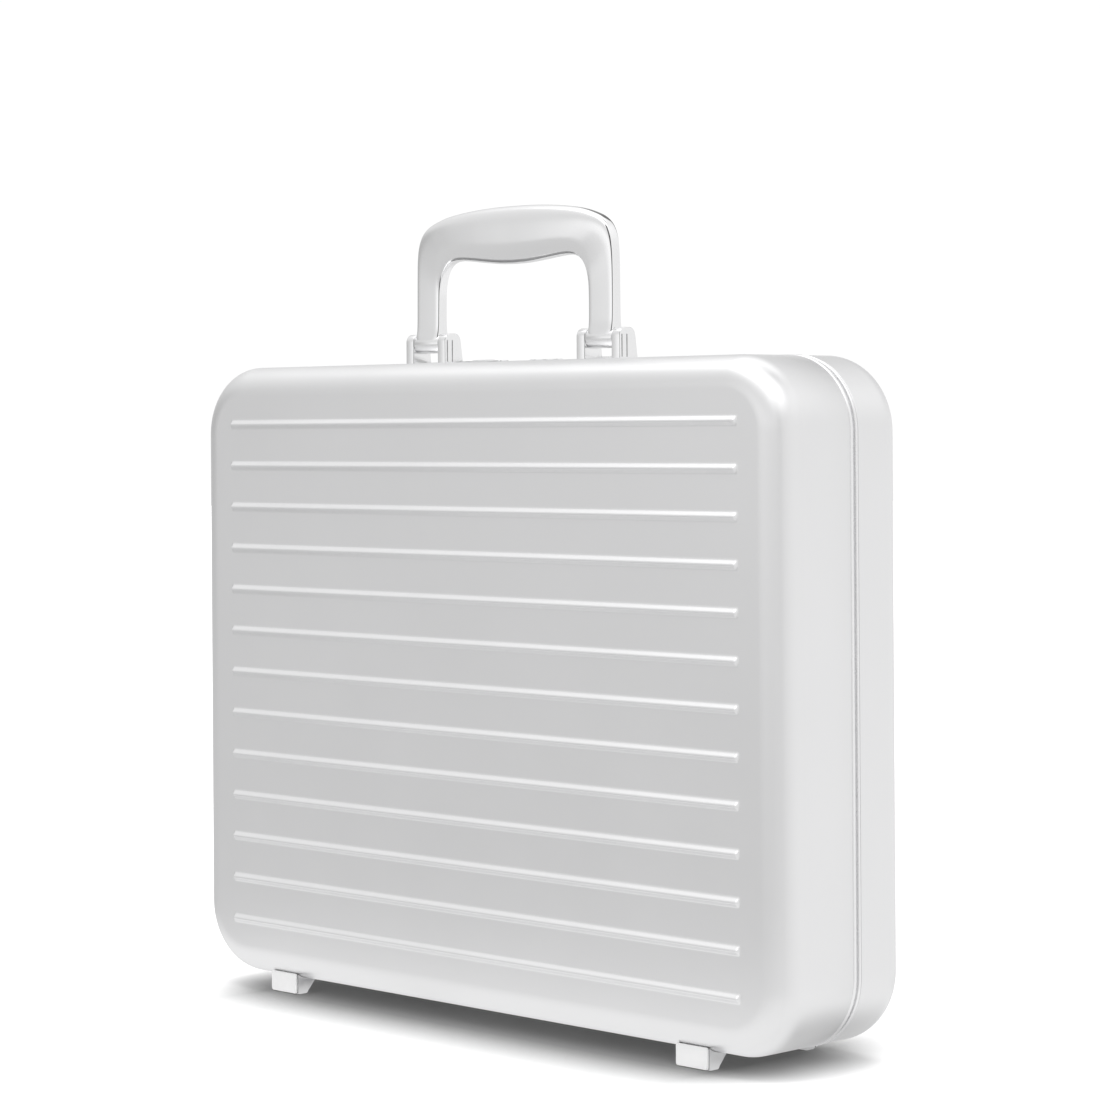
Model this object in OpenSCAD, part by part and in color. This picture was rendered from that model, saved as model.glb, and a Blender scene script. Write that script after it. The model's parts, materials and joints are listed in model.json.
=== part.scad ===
// Slim aluminium attache case: two pressed ribbed shells on extruded frames,
// hinged along the bottom edge, with a swinging cast handle on two brackets
// and a combination lock let into the top edge.
// X runs along the width, Y from the ribbed front face to the back, Z up.
// The origin is on the floor, under the middle of the case.

/* [Case] */
// Width of the case over the shells
case_w = 420; // [400:1:460]
// Height of the shells, without feet and handle
case_h = 325; // [310:1:360]
// Depth of the closed case over the shells
case_d = 88; // [86:1:110]
// Corner radius of the outline
corner_r = 36; // [34:1:44]
// Rounding of the edge between a face and its walls
edge_r = 15; // [12:1:16]
// Sheet thickness of the shells
sheet = 1.2; // [1:0.1:1.5]
// Distance of the closing line behind the middle of the depth
seam_y = 6.7; // [5:0.1:8]

/* [Ribs] */
// Number of pressed ribs on each face
rib_count = 13; // [5:2:13]
// Distance between neighbouring ribs
rib_pitch = 22.1; // [18:0.1:22.5]
// Length of a rib
rib_len = 362; // [300:1:364]
// Height of a rib over the face
rib_rise = 1.8; // [1:0.1:2.2]
// Width of a rib at the face
rib_w = 5; // [4:0.1:6]

/* [Feet] */
// Height of the feet under the shells
foot_h = 8; // [7.8:0.1:8.5]
// Distance from the middle to the inner side of a foot
foot_x = 137.3; // [125:0.1:145]
// Width of a foot
foot_w = 20.1; // [18:0.1:22]

/* [Handle] */
// Distance from the middle to the inner side of a bracket
bracket_x = 47.7; // [46:0.1:52]
// Overall width of a bracket
bracket_w = 29.7; // [29:0.1:31]
// Thickness of one bracket ear
ear_t = 5.6; // [5:0.1:6]
// Height of the handle axle above the case
axle_h = 10.5; // [10:0.1:11]
// Depth position of the handle axle
axle_y = -7; // [-8:0.1:-6]
// Thickness of the handle legs
leg_t = 6.6; // [6:0.1:7.5]
// Thickness of the grip
grip_t = 13; // [11:0.5:14]
// Radius of the handle barrels
barrel_r = 4.9; // [4.6:0.1:5]
// Radius of the handle pins
pin_r = 2.5; // [2.2:0.1:2.6]

/* [Lock] */
// Depth position of the dial axle
dial_y = 14.2; // [14.1:0.1:14.3]
// Radius of a dial
dial_r = 4; // [3.8:0.1:4]
// Spacing of the dials
dial_pitch = 8; // [7.5:0.1:8.5]
// Travel of a latch button
latch_travel = 5; // [4:0.5:5]

/* [Hidden] */
$fn = 64;

// underside, top and middle height of the shells
z_bot = foot_h;
z_top = foot_h + case_h;
z_mid = foot_h + case_h / 2;
// corner centres, from the middle of the outline
corner_x = case_w / 2 - corner_r;
corner_z = case_h / 2 - corner_r;
hinge_z = z_bot - 3.6;
overcut = 0.01;

alu = "silver";
frame_c = "lightgray";
polished = "gainsboro";
steel = "slategray";
dark = "dimgray";
cloth = "darkslategray";

// ---------- helpers ----------
// plate between two Y positions from an X/Z outline
module plate(y0, y1)
    translate([0, y1, 0]) rotate([90, 0, 0]) linear_extrude(y1 - y0) children();
// bar between two X positions from a Y/Z outline
module bar(x0, x1) translate([x0, 0, 0]) rotate([90, 0, 90]) linear_extrude(x1 - x0) children();
// round rod between two X positions
module rod(x0, x1, r) translate([x0, 0, 0]) rotate([0, 90, 0]) cylinder(h = x1 - x0, r = r);
// box centred on X, starting at y and z
module mid_box(width, y, z, depth, height)
    translate([-width / 2, y, z]) cube([width, depth, height]);
module at_yz(y, z) translate([0, y, z]) children();
module at_points(points, z) for (p = points) translate([p[0], p[1], z]) children();
// pieces are drawn on the right; side -1 puts them on the left
module on_side(side) if (side > 0) children(); else mirror([1, 0, 0]) children();
module both() {
    children();
    mirror([1, 0, 0]) children();
}

// ---------- fastener places, right half, [x, y] ----------
// inner X of the two ears of a bracket
bracket_outer_x = bracket_x + bracket_w;
ear_x = [bracket_x, bracket_outer_x - ear_t];
bracket_points = [for (x = ear_x) [x + ear_t / 2, -5.5]];
keeper_points = [[37, -5], [57.5, -5]];

hinge_rivet_x = [62, 85, 108];
hinge_front_y = -3;
hinge_rear_y = 15;

foot_screw_dx = 5.3;
foot_screw_y = 30;
function foot_points(face) = [for (dx = [-foot_screw_dx, foot_screw_dx])
    [foot_x + foot_w / 2 + dx, face * foot_screw_y]];

stay_x = 161;
stay_points = [[stay_x - 7, -4.5], [stay_x - 2.8, -4.5]];
arm_points = [for (y = [12, 17.5]) [stay_x + 8.3, y]];

// small rivets of the keepers and stays
rivet_r = 1.06;
rivet_hole_r = 1.1;
rivet_head_r = 1.9;
rivet_head_t = 0.7;

module bracket_screw_holes()
    both() at_points(bracket_points, z_top - 8) cylinder(h = 12.5, r = 1.7);
module hinge_rivet_holes(y)
    both() at_points([for (x = hinge_rivet_x) [x, y]], 4) cylinder(h = 9, r = 1.6);
// face is -1 at the front, 1 at the back
module foot_screw_holes(face)
    both() at_points(foot_points(face), -overcut) cylinder(h = 14, r = 1.4);
module keeper_holes() at_points(keeper_points, z_top - 9) cylinder(h = 3.3, r = rivet_hole_r);

// ---------- shells, frames and linings ----------
front_rim = seam_y - 3.1;
rear_rim = seam_y + 2.7;
// the lock fills this depth of the top wall
lock_inner_y = 9.9;
lock_inner_d = 8.6;
// space between shell and lining surfaces, thickness and rims of the linings
lining_inset = 2.4;
lining_t = 1;
lining_front_y = -14.5;
lining_rear_y = 20.5;

// rounded rectangle outline of the case
module outline(inset) translate([0, z_mid]) {
    square([case_w - 2 * inset, 2 * corner_z], center = true);
    square([2 * corner_x, case_h - 2 * inset], center = true);
    for (sx = [-1, 1], sz = [-1, 1])
        translate([sx * corner_x, sz * corner_z]) circle(r = corner_r - inset);
}
// ring all round the case between two insets and two Y positions
module band(outer, inner, y0, y1) plate(y0, y1) difference() {
    outline(outer);
    outline(inner);
}
// solid tray shape from the rounded face to the rim
module tray(inset, rim, face) {
    bend_y = face * (case_d / 2 - edge_r);
    hull() for (sx = [-1, 1], sz = [-1, 1])
        translate([sx * corner_x, 0, z_mid + sz * corner_z]) {
            translate([0, bend_y, 0]) rotate([90, 0, 0]) rotate_extrude($fn = 48)
                translate([corner_r - edge_r, 0]) circle(r = edge_r - inset, $fn = 48);
            translate([0, face > 0 ? rim : bend_y, 0]) rotate([-90, 0, 0])
                cylinder(h = abs(rim - bend_y), r = corner_r - inset, $fn = 48);
        }
}
// section of a rib: a shallow arc over y = 0, carried on to y = root
function rib_section(width, rise, root) =
    let (centre = (width * width / 4 - rise * rise) / (2 * rise),
        radius = centre + rise,
        half = asin(width / 2 / radius),
        arc = [for (i = [0:10]) let (t = -half + 2 * half * i / 10)
            [centre - radius * cos(t), radius * sin(t)]])
    concat([[root, -width / 2]], arc, [[root, width / 2]]);
// all ribs of a face, standing on a plane at the given depth below it
module rib_row(face, depth, end, width, rise, root)
    for (i = [0:rib_count - 1])
        translate([0, face * (case_d / 2 - depth), z_mid + (i - (rib_count - 1) / 2) * rib_pitch])
            scale([1, -face, 1]) bar(-rib_len / 2 + end, rib_len / 2 - end)
                polygon(rib_section(width, rise, root));
// ribbed shell; the inner tray runs 1 mm past the rim
module ribbed_shell(face, rim) {
    difference() {
        union() {
            difference() {
                tray(0, rim, face);
                tray(sheet, rim - face, face);
            }
            rib_row(face, depth = 0, end = 0, width = rib_w, rise = rib_rise, root = sheet / 2);
        }
        rib_row(face, depth = sheet, end = 1.2, width = rib_w - 2, rise = rib_rise - 0.3, root = 0.2);
        hinge_rivet_holes(face < 0 ? hinge_front_y : hinge_rear_y);
        foot_screw_holes(face);
        children();
    }
}
module front_shell() color(alu) ribbed_shell(-1, front_rim) bracket_screw_holes();
module rear_shell() color(alu) ribbed_shell(1, rear_rim)
    mid_box(126, lock_inner_y, z_top - 3, lock_inner_d, 4);

module front_frame() color(frame_c) difference() {
    union() {
        band(-0.3, 2, seam_y - 3, seam_y - 0.8); // bead at the rim
        band(1.5, 3.5, -14, seam_y - 0.1); // wall inside the shell
        band(1.5, 7, seam_y - 3.7, seam_y - 2.5); // web
        band(5.8, 7, -8, seam_y - 0.1); // inner wall
    }
    bracket_screw_holes();
    // pockets under the screw heads
    both() at_points(bracket_points, z_top - 5.75) mirror([0, 0, 1]) cylinder(h = 3, r = 3.4);
    hinge_rivet_holes(hinge_front_y);
    both() keeper_holes();
    both() at_points(stay_points, z_bot + 5.7) cylinder(h = 3, r = rivet_hole_r);
}
module rear_frame() color(frame_c) difference() {
    union() {
        band(-0.3, 2, seam_y + 0.8, seam_y + 2.4); // bead at the rim
        band(1.5, 3.5, seam_y + 0.1, 20); // wall inside the shell
        band(1.5, 5.2, seam_y + 0.9, seam_y + 2); // web
        band(4.1, 5.2, seam_y - 1.5, seam_y + 2); // tongue reaching into the front frame
    }
    mid_box(138, seam_y + 2.4, z_top - 5, 14, 6); // gap for the lock
    hinge_rivet_holes(hinge_rear_y);
    both() at_points(arm_points, z_bot + 1) cylinder(h = 3, r = rivet_hole_r);
}
module gasket() color(dark) band(3.6, 5.7, seam_y - 2.5, seam_y - 1.6);
module front_lining() color(cloth) difference() {
    tray(lining_inset, lining_front_y, -1);
    tray(lining_inset + lining_t, lining_front_y + 0.5, -1);
}
module rear_lining() color(cloth) difference() {
    tray(lining_inset, lining_rear_y, 1);
    tray(lining_inset + lining_t, lining_rear_y - 0.5, 1);
    mid_box(2 * case_w, 0, 0, lining_rear_y, 2 * case_h);
}
// flat pocket on the rear lining, open at the top
module document_pocket() color(cloth) difference() {
    mid_box(330, 35.4, 42, 5, 170);
    mid_box(322, 37, 46, 1.6, 170);
}

// ---------- handle brackets ----------
axle_z = z_top + axle_h;
bracket_front_y = axle_y - 5;
bracket_back_y = axle_y + 8;
base_t = 0.8;
backing_z = z_top - 5;
groove = 0.7;

// rod on the handle axle, drawn in from both sides of the bracket
module axle_rod(inset, r)
    at_yz(axle_y, axle_z) rod(bracket_x + inset, bracket_outer_x - inset, r);

// side view of an ear, rounded above, wider at the foot
module ear_outline() {
    front = bracket_front_y;
    back = axle_y + 6.4;
    top = axle_h + 5.1;
    r = 4;
    difference() {
        polygon([[front, 0], [front, top - r], [front + r, top],
            [back - r, top], [back, top - r], [bracket_back_y, 0]]);
        difference() {
            translate([front - 1, top - r]) square([r + 1, r + 1]);
            translate([front + r, top - r]) circle(r = r);
        }
    }
    for (y = [front + r, back - r]) translate([y, top - r]) circle(r = r);
}
module handle_bracket(side) color(polished) on_side(side) difference() {
    translate([0, 0, z_top]) {
        for (x = ear_x) bar(x, x + ear_t) ear_outline();
        translate([bracket_x, bracket_front_y, 0])
            cube([bracket_w, bracket_back_y - bracket_front_y, base_t]);
    }
    axle_rod(1.2, pin_r + 0.02);
    at_points(bracket_points, z_top - 1) cylinder(h = 5, r = 1.62);
    // upright grooves on the outer sides of the ears
    for (x = [bracket_x, bracket_outer_x], dy = [1.1, 4.6])
        translate([x - groove / 2, bracket_front_y + dy, z_top + 1]) cube([groove, groove, 11.6]);
}
module handle_bracket_left() handle_bracket(-1);
module handle_bracket_right() handle_bracket(1);
module bracket_backing(side) color(steel) on_side(side) difference() {
    translate([bracket_x - 1, bracket_front_y, backing_z]) cube([bracket_w + 2, 12, 1.5]);
    bracket_screw_holes();
}
module bracket_backing_left() bracket_backing(-1);
module bracket_backing_right() bracket_backing(1);
// screws driven from inside, with slotted heads below
module bracket_screws() color(steel) both() at_points(bracket_points, backing_z) difference() {
    union() {
        cylinder(h = 8.8, r = 1.6);
        mirror([0, 0, 1]) cylinder(h = 0.75, r = 3);
    }
    translate([-0.4, -2.2, -1]) cube([0.8, 4.4, 0.6]);
}
module handle_pin(side) color(steel) on_side(side) axle_rod(1.4, pin_r);
module handle_pin_left() handle_pin(-1);
module handle_pin_right() handle_pin(1);

// ---------- handle ----------
leg_outer = bracket_outer_x - ear_t - 0.8;
leg_inner = bracket_x + ear_t + 1;
grip_top = 79;
grip_low = 49.6;
barrel_inset = ear_t + 0.2;
bushing_t = 1;
// right half, [x, height over the case], from the leg up to the middle
handle_outer = [
    [leg_outer, axle_h], [leg_outer, 30], [leg_outer, 52], [leg_outer - 1.8, 62.5],
    [leg_outer - 6.5, 68.8], [leg_outer - 14, 72.7], [leg_outer - 23, 75.3],
    [leg_outer - 36, 77.3], [20, 78.6], [0, grip_top]];
handle_opening = [
    [leg_inner, axle_h], [leg_inner, 33], [leg_inner - 1.2, 42], [leg_inner - 4, grip_low - 1.6],
    [leg_inner - 9, grip_low + 2.2], [leg_inner - 15.5, grip_low + 2.8],
    [27, grip_low + 1.9], [14, grip_low + 0.3], [0, grip_low]];
// swellings of the grip: [x, height over the case, half height]
grip_swells = [[0, 64.4, 14.2], [22, 64.6, 13.2], [44, 63.6, 9.6]];

// Catmull-Rom curve between p1 and p2
function spline(p0, p1, p2, p3, t) = 0.5 * ((2 * p1) + (p2 - p0) * t
    + (2 * p0 - 5 * p1 + 4 * p2 - p3) * t * t + (3 * p1 - p0 - 3 * p2 + p3) * t * t * t);
// smooth curve through the points, with a number of steps between each two
function curve(points, steps) = let (last = len(points) - 1) concat(
    [for (i = [0:last - 1], j = [0:steps - 1])
        spline(points[max(i - 1, 0)], points[i], points[i + 1], points[min(i + 2, last)], j / steps)],
    [points[last]]);
function flip(points) = [for (i = [len(points) - 1:-1:0]) [-points[i][0], points[i][1]]];
// closed left and right outline from a right half
module arch(half) {
    points = curve(half, 4);
    polygon(concat(points, flip(points)));
}
module handle() color(polished) difference() {
    union() {
        translate([0, 0, z_top]) plate(axle_y - leg_t / 2, axle_y + leg_t / 2) difference() {
            arch(handle_outer);
            translate([0, -overcut]) arch(handle_opening);
        }
        hull() for (s = grip_swells, m = [-1, 1])
            translate([m * s[0], axle_y, z_top + s[1]])
                scale([12, grip_t / 2, s[2]]) sphere(r = 1, $fn = 28);
        both() axle_rod(barrel_inset, barrel_r);
    }
    both() axle_rod(ear_t, pin_r + bushing_t + 0.02);
}
module handle_bushing(side) color("ivory") on_side(side) difference() {
    axle_rod(barrel_inset, pin_r + bushing_t);
    axle_rod(ear_t, pin_r + 0.06);
}
module handle_bushing_left() handle_bushing(-1);
module handle_bushing_right() handle_bushing(1);

// ---------- feet ----------
// side views of a front foot and its plate, [y, z]
foot_side = [[-38, 0.9], [-37.1, 0], [-31.9, 0], [-31.1, 0.5],
    [-24.4, z_bot], [-24.4, z_bot + 0.5], [-38, z_bot + 4]];
foot_plate_side = [[-39.4, 1.3], [-38.7, 0.5], [-38.3, 0.5],
    [-38.3, z_bot + 3], [-39.4, z_bot + 3]];
foot_plate_back = [[-38.4, 2], [-38, 2], [-38, z_bot + 1.5], [-38.4, z_bot + 1.5]];

// room for the rounded lower edge of the shell
module shell_relief() at_yz(edge_r - case_d / 2, z_bot + edge_r)
    rod(foot_x - 1, foot_x + foot_w + 1, edge_r + 0.05);
module foot(side) color(frame_c) on_side(side) difference() {
    bar(foot_x, foot_x + foot_w) polygon(foot_side);
    shell_relief();
    translate([foot_x - 1, -29, z_bot]) cube([foot_w + 2, 10, 5]);
    at_points(foot_points(-1), 3.35) cylinder(h = 9, r = 1.32);
}
module foot_plate(side) color("white") on_side(side) difference() {
    union() {
        bar(foot_x, foot_x + foot_w) polygon(foot_plate_side);
        bar(foot_x + 3, foot_x + foot_w - 3) polygon(foot_plate_back);
    }
    shell_relief();
}
module foot_screws(face) color(steel) both() at_points(foot_points(face), z_bot) {
    translate([0, 0, -4.6]) cylinder(h = 6.5, r = 1.3);
    translate([0, 0, 1.75]) cylinder(h = 0.6, r = 2.5);
}
module front_foot_left() foot(-1);
module front_foot_right() foot(1);
module front_foot_plate_left() foot_plate(-1);
module front_foot_plate_right() foot_plate(1);
module foot_screws_front() foot_screws(-1);
module rear_foot_left() mirror([0, 1, 0]) foot(-1);
module rear_foot_right() mirror([0, 1, 0]) foot(1);
module rear_foot_plate_left() mirror([0, 1, 0]) foot_plate(-1);
module rear_foot_plate_right() mirror([0, 1, 0]) foot_plate(1);
module foot_screws_rear() foot_screws(1);

// ---------- hinges along the bottom edge ----------
hinge_x = 55;
knuckle_w = 12;
hinge_w = 5 * knuckle_w;
knuckle_gap = 0.15;
knuckle_r = 2.6;
leaf_t = 1.2;
hinge_pin_r = 1.3;

// the rear (lid) leaf has knuckles 1 and 3, the front leaf 0, 2 and 4
module hinge_leaf(side, lid) color(steel) on_side(side)
    translate([0, seam_y, 0]) scale([1, lid ? 1 : -1, 1]) difference() {
        union() {
            translate([hinge_x, 3.3, z_bot - leaf_t]) cube([hinge_w, 13.4, leaf_t]);
            for (k = lid ? [1, 3] : [0, 2, 4]) {
                x0 = hinge_x + k * knuckle_w + knuckle_gap;
                x1 = hinge_x + (k + 1) * knuckle_w - knuckle_gap;
                at_yz(0, hinge_z) rod(x0, x1, knuckle_r);
                translate([x0, 0.2, z_bot - 2.1]) cube([x1 - x0, 4.6, 1.1]);
            }
        }
        at_yz(0, hinge_z) rod(hinge_x - 1, hinge_x + hinge_w + 1, hinge_pin_r + (lid ? 0.06 : 0.01));
        for (x = hinge_rivet_x)
            translate([x, lid ? hinge_rear_y - seam_y : seam_y - hinge_front_y, 4])
                cylinder(h = 5, r = 1.6);
    }
module hinge_leaf_front_left() hinge_leaf(-1, false);
module hinge_leaf_front_right() hinge_leaf(1, false);
module hinge_leaf_rear_left() hinge_leaf(-1, true);
module hinge_leaf_rear_right() hinge_leaf(1, true);
module hinge_pin(side) color("gray") on_side(side)
    at_yz(seam_y, hinge_z) rod(hinge_x + 0.2, hinge_x + hinge_w - 0.2, hinge_pin_r);
module hinge_pin_left() hinge_pin(-1);
module hinge_pin_right() hinge_pin(1);
module hinge_rivets(y) color("darkgray")
    both() at_points([for (x = hinge_rivet_x) [x, y]], z_bot) {
        translate([0, 0, -1.9]) cylinder(h = 0.7, r = 2.5);
        translate([0, 0, -1.25]) cylinder(h = 4.8, r = 1.5);
        translate([0, 0, 3.5]) cylinder(h = 0.7, r = 2.4);
    }
module hinge_rivets_front() hinge_rivets(hinge_front_y);
module hinge_rivets_rear() hinge_rivets(hinge_rear_y);

// ---------- lid stays, swinging about the hinge axis ----------
stay_r = 38;
pin_angle = 72;
lid_open = 90;
// ends of the slot
slot_from = pin_angle - 0.6;
slot_to = pin_angle + lid_open + 0.6;
slot_r = 1.95;
arm_x = stay_x + 1.8;
stay_t = 1.5;
tab_t = 1.2;
// side views, [y, z]
stay_bracket_side = [[-7.5, z_bot + 7], [2, z_bot + 7], [25, z_bot + 29],
    [25, z_bot + 38], [12, z_bot + 38], [-7.5, z_bot + 16]];
arm_root_side = [[9.5, z_bot + 3.5], [19.5, z_bot + 3.5], [34, z_bot + 22],
    [31.5, z_bot + 27], [25.5, z_bot + 24]];

module at_stay(angle)
    at_yz(seam_y + stay_r * cos(angle), hinge_z + stay_r * sin(angle)) children();
function arc(r, from, to) =
    [for (i = [0:24]) let (a = from + (to - from) * i / 24) [r * cos(a), r * sin(a)]];
// ring sector about the hinge axis, half_w to each side of the stay radius
module sector(half_w, from, to) translate([seam_y, hinge_z])
    polygon(concat(arc(stay_r + half_w, from, to), arc(stay_r - half_w, to, from)));

module stay_bracket(side) color(steel) on_side(side) difference() {
    union() {
        bar(stay_x, stay_x + stay_t) difference() {
            polygon(stay_bracket_side);
            translate([seam_y, 0]) square([40, z_bot + 24]);
        }
        translate([stay_x - 10, -7.5, z_bot + 7]) cube([11.5, 9.5, tab_t]);
    }
    at_stay(pin_angle) rod(stay_x - 1, stay_x + 3, 1.9);
    at_points(stay_points, z_bot + 5.7) cylinder(h = 5, r = rivet_hole_r);
}
module stay_bracket_left() stay_bracket(-1);
module stay_bracket_right() stay_bracket(1);
module stay_pin(side) color("gray") on_side(side) at_stay(pin_angle) {
    rod(stay_x - 0.8, stay_x + 3.9, 1.88);
    rod(stay_x - 0.8, stay_x - 0.05, 3);
    rod(stay_x + 3.5, stay_x + 4.5, 3.2);
}
module stay_pin_left() stay_pin(-1);
module stay_pin_right() stay_pin(1);
module stay_arm(side) color(steel) on_side(side) difference() {
    union() {
        bar(arm_x, arm_x + stay_t) {
            sector(3.6, 50, pin_angle + lid_open + 5);
            polygon(arm_root_side);
        }
        translate([arm_x, 9.5, z_bot + 3.5]) cube([10.5, 10, tab_t]);
    }
    bar(stay_x + 1, stay_x + 4) sector(slot_r, slot_from, slot_to);
    for (a = [slot_from, slot_to]) at_stay(a) rod(stay_x + 1, stay_x + 4, slot_r);
    at_points(arm_points, z_bot + 1) cylinder(h = 5, r = rivet_hole_r);
}
module stay_arm_left() stay_arm(-1);
module stay_arm_right() stay_arm(1);
module stay_arm_rivets() color("darkgray") both() at_points(arm_points, z_bot + 1.6) {
    cylinder(h = 3.6, r = rivet_r);
    translate([0, 0, 3.1]) cylinder(h = rivet_head_t, r = rivet_head_r);
}

// ---------- keepers on the front frame ----------
module keeper(side) color(steel) on_side(side) difference() {
    union() {
        translate([33.5, -7.5, z_top - 8.1]) cube([28, 12, 1.1]);
        translate([38, 0, z_top - 15.5]) cube([6, 1.5, 8]);
    }
    keeper_holes();
}
module keeper_left() keeper(-1);
module keeper_right() keeper(1);
// rivets holding keepers and stay brackets to the front frame
module frame_rivets() color("darkgray") both() {
    at_points(keeper_points, z_top - 8.8) {
        cylinder(h = 3.1, r = rivet_r);
        cylinder(h = rivet_head_t, r = rivet_head_r);
    }
    at_points(stay_points, z_bot + 5.75) {
        cylinder(h = 3.1, r = rivet_r);
        translate([0, 0, 2.45]) cylinder(h = rivet_head_t, r = rivet_head_r);
    }
}

// ---------- lock in the top edge of the lid ----------
dial_z = z_top + 1.8 - dial_r;
dial_half = 2.9;
stem_x = 43;
stem_w = 6;
claw_x = 49.5;
claw_w = 5;
claw_z = z_top - 14.1;
claw_t = 2;
claw_pin_x = 52;
play = 1;

// box cut wide enough for a latch part to travel inwards
module travel_slot(x, width, y, z, depth, height)
    both() translate([x - latch_travel - play, y, z])
        cube([latch_travel + width + 2 * play, depth, height]);
module lock_case() color(steel) difference() {
    mid_box(136, 9.1, z_top - 16.5, 10.2, 15.2);
    mid_box(134, lock_inner_y, z_top - 15.5, lock_inner_d, 15);
    travel_slot(claw_x, claw_w, 8.5, z_top - 14.5, 2, 2.8);
}
module lock_cover() color(polished) difference() {
    mid_box(134, 9.3, z_top, 9.8, 0.6);
    for (i = [-1, 0, 1])
        translate([i * dial_pitch - 3.2, dial_y - 3.7, z_top - 1]) cube([6.4, 7.4, 3]);
    travel_slot(stem_x, stem_w, dial_y - 1.8, z_top - 1, 3.6, 3);
}
// axle with a cheek plate at each end
module dial_axle() color("gray") {
    at_yz(dial_y, dial_z) rod(-14.5, 14.5, 1.2);
    both() translate([13, 10, z_top - 15.45]) cube([1.6, 8.4, 14]);
}
// drum with two rims and ten grooves
module dial(x) color(polished) translate([x, dial_y, dial_z]) difference() {
    union() {
        rod(-dial_half, dial_half, dial_r - 0.25);
        rod(-dial_half, -2.2, dial_r);
        rod(2.2, dial_half, dial_r);
    }
    rod(-4, 4, 1.26);
    for (i = [0:9]) rotate([36 * i, 0, 0]) translate([-4, -0.35, dial_r - 0.5]) cube([8, 0.7, 1]);
}
module dial_left() dial(-dial_pitch);
module dial_middle() dial(0);
module dial_right() dial(dial_pitch);
// leaf under the dials, slit into three fingers
module detent_spring() color(steel) difference() {
    mid_box(26, dial_y - 2.6, dial_z - dial_r - 0.9, 5.2, 0.4);
    both() translate([3.6, dial_y - 3, dial_z - dial_r - 2]) cube([0.8, 4.4, 3]);
}
// grooved slide on top, stem and carriage below
module latch_button(side) color(polished) on_side(side) {
    difference() {
        translate([30, dial_y - 3.4, z_top + 0.75]) cube([32, 6.8, 1.45]);
        for (i = [0:4]) translate([40.5 + i * 2.6, 9, z_top + 1.8]) cube([0.9, 10, 1]);
    }
    translate([stem_x, dial_y - 1.5, z_top - 9]) cube([stem_w, 3, 10]);
    difference() {
        translate([40, dial_y - 3.1, z_top - 12]) cube([20, 6.2, 4]);
        translate([claw_pin_x, dial_y, z_top - 13]) cylinder(h = 3, r = 1.02);
    }
}
module latch_button_left() latch_button(-1);
module latch_button_right() latch_button(1);
module latch_claw(side) color(steel) on_side(side) {
    translate([claw_x, -3.5, claw_z]) cube([claw_w, 20, claw_t]);
    translate([45.5, -3.5, claw_z]) cube([5, 3, claw_t]);
    translate([claw_pin_x, dial_y, z_top - 12.2]) cylinder(h = 1.9, r = 1);
}
module latch_claw_left() latch_claw(-1);
module latch_claw_right() latch_claw(1);
// helical wire along X; each ring of points is joined to the next
module coil(length, radius, wire_r, turns) {
    steps = 14;
    sides = 6;
    rings = steps * turns;
    points = [for (i = [0:rings], j = [0:sides - 1])
        let (a = 360 * i / steps, b = 360 * j / sides,
            x = wire_r + (length - 2 * wire_r) * i / rings,
            r = radius + wire_r * cos(b))
        [x + wire_r * sin(b), r * cos(a), r * sin(a)]];
    walls = [for (i = [0:rings - 1], j = [0:sides - 1]) let (k = (j + 1) % sides)
        [i * sides + j, (i + 1) * sides + j, (i + 1) * sides + k, i * sides + k]];
    start = [for (j = [0:sides - 1]) j];
    end = [for (j = [sides - 1:-1:0]) rings * sides + j];
    polyhedron(points = points, faces = concat([start], walls, [end]), convexity = 6);
}
// spring between the button carriage and the end of the lock case
module latch_spring(side) color("gray") on_side(side) translate([60.1, dial_y, z_top - 10])
    coil(length = 6.8, radius = 1.6, wire_r = 0.3, turns = 5);
module latch_spring_left() latch_spring(-1);
module latch_spring_right() latch_spring(1);

front_shell();
front_frame();
gasket();
front_lining();
handle_bracket_left();
handle_bracket_right();
bracket_backing_left();
bracket_backing_right();
bracket_screws();
handle_pin_left();
handle_pin_right();
keeper_left();
keeper_right();
frame_rivets();
hinge_leaf_front_left();
hinge_leaf_front_right();
hinge_pin_left();
hinge_pin_right();
hinge_rivets_front();
front_foot_left();
front_foot_right();
front_foot_plate_left();
front_foot_plate_right();
foot_screws_front();
stay_bracket_left();
stay_bracket_right();
stay_pin_left();
stay_pin_right();
rear_shell();
rear_frame();
rear_lining();
document_pocket();
hinge_leaf_rear_left();
hinge_leaf_rear_right();
hinge_rivets_rear();
rear_foot_left();
rear_foot_right();
rear_foot_plate_left();
rear_foot_plate_right();
foot_screws_rear();
lock_case();
lock_cover();
dial_axle();
detent_spring();
latch_spring_left();
latch_spring_right();
stay_arm_left();
stay_arm_right();
stay_arm_rivets();
handle();
handle_bushing_left();
handle_bushing_right();
latch_button_left();
latch_button_right();
latch_claw_left();
latch_claw_right();
dial_left();
dial_middle();
dial_right();
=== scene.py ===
"""A ribbed aluminium case standing upright on four feet, handle and dial lock on top.

X runs along its width, Y through its thickness and Z up. The base shell faces -Y (front)
and the lid +Y (rear). Pieces are drawn in millimetres and scaled by MM; shaders, floor,
lights and camera are in metres.
"""

import json
import math

import bmesh
import bpy
import numpy as np
from mathutils import Matrix, Vector, noise


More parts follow.
